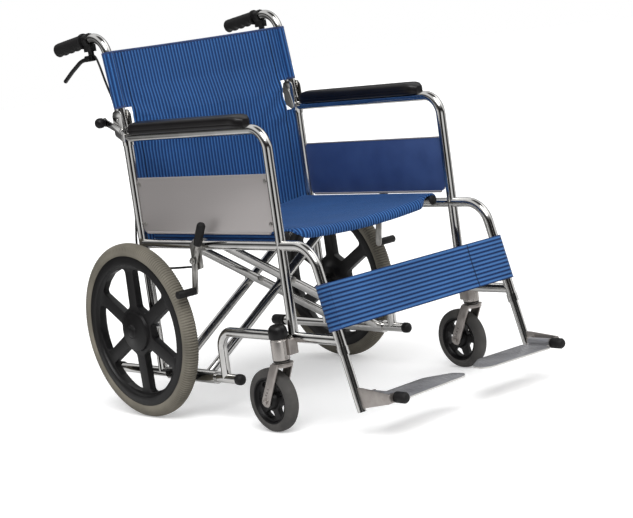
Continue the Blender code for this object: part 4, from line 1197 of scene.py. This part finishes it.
bpy.ops.mesh.primitive_plane_add(size=40, location=(0, 0, 0))
floor = bpy.context.object
floor.name = "studio_floor"
ground, tree, shader = shaded("white_studio_floor", "#F2F2F2", 0.9)
rays = add(tree, "LightPath").outputs
lift = maths(tree, "MULTIPLY", rays["Is Camera Ray"], 0.30)
tree.links.new(lift, shader.inputs["Emission Strength"])
shader.inputs["Emission Color"].default_value = (1, 1, 1, 1)
spot = add(tree, "TexCoord").outputs["Object"]
flags = ramp(tree, around(tree, spot), FLAGS)
flags = add(tree, "Emission", {"Strength": 0.9}, {"Color": flags})
far = ranged(tree, from_origin(tree, spot), SWEEP_END, FLAGS_START)
mirrored = maths(tree, "MULTIPLY", far, rays["Is Glossy Ray"])
both = add(tree, "MixShader", links={0: mirrored, 1: shader.outputs[0], 2: flags.outputs[0]})
tree.links.new(both.outputs[0], tree.nodes["Material Output"].inputs["Surface"])
floor.data.materials.append(ground)

world = bpy.data.worlds.new("studio")
bpy.context.scene.world = world
world.use_nodes = True
tree = world.node_tree
tree.nodes.clear()
rays = add(tree, "LightPath").outputs
aim = add(tree, "TexCoord").outputs["Generated"]
height = add(tree, "SeparateXYZ", links={"Vector": aim}).outputs["Z"]
low_down = ranged(tree, height, 0.04, 0.20)
sides = {0: low_down, 6: ramp(tree, around(tree, aim), FLAGS), 7: ramp(tree, height, CEILING)}
room = add(tree, "Mix", links=sides, data_type="RGBA").outputs[2]
mirrored = add(tree, "Background", {"Strength": 0.95}, {"Color": room})
plain = ranged(tree, rays["Is Camera Ray"], 0.0, 1.0, 0.55, 1.0)
white = add(tree, "Background", {"Color": (1, 1, 1, 1)}, {"Strength": plain})
both = add(tree, "MixShader",
           links={0: rays["Is Glossy Ray"], 1: white.outputs[0], 2: mirrored.outputs[0]})
add(tree, "OutputWorld", links={"Surface": both.outputs[0]})

# Strength, then spread, lean and turn in degrees
LAMPS = (("key_lamp", 2.1, 40, 38, -35), ("fill_lamp", 0.7, 60, 55, 60))
for name, strength, spread, lean, turn in LAMPS:
    lamp = bpy.data.lights.new(name, "SUN")
    lamp.energy = strength
    lamp.angle = radians(spread)
    linked(name, lamp).rotation_euler = (radians(lean), 0, radians(turn))

AZIMUTH, ELEVATION, ROLL = radians(40.341), radians(8.127), radians(8.016)
DISTANCE, SENSOR = 4.1638, 36
# The focal length was fitted in pixels of a picture this wide
FOCAL_PIXELS, PICTURE_PIXELS = 1747.3, 633
TARGET = Vector((0.1018, ORIGIN_Y, 0.2936))
view = bpy.data.cameras.new("camera")
view.lens = FOCAL_PIXELS / PICTURE_PIXELS * SENSOR
view.sensor_width = SENSOR
camera = linked("camera", view)
back = Vector((-sin(AZIMUTH) * cos(ELEVATION), -cos(AZIMUTH) * cos(ELEVATION), sin(ELEVATION)))
turn = back.to_track_quat("Z", "Y").to_matrix() @ Matrix.Rotation(-ROLL, 3, "Z")
camera.matrix_world = Matrix.Translation(TARGET + back * DISTANCE) @ turn.to_4x4()
bpy.context.scene.camera = camera
bpy.context.scene.view_settings.view_transform = "Standard"
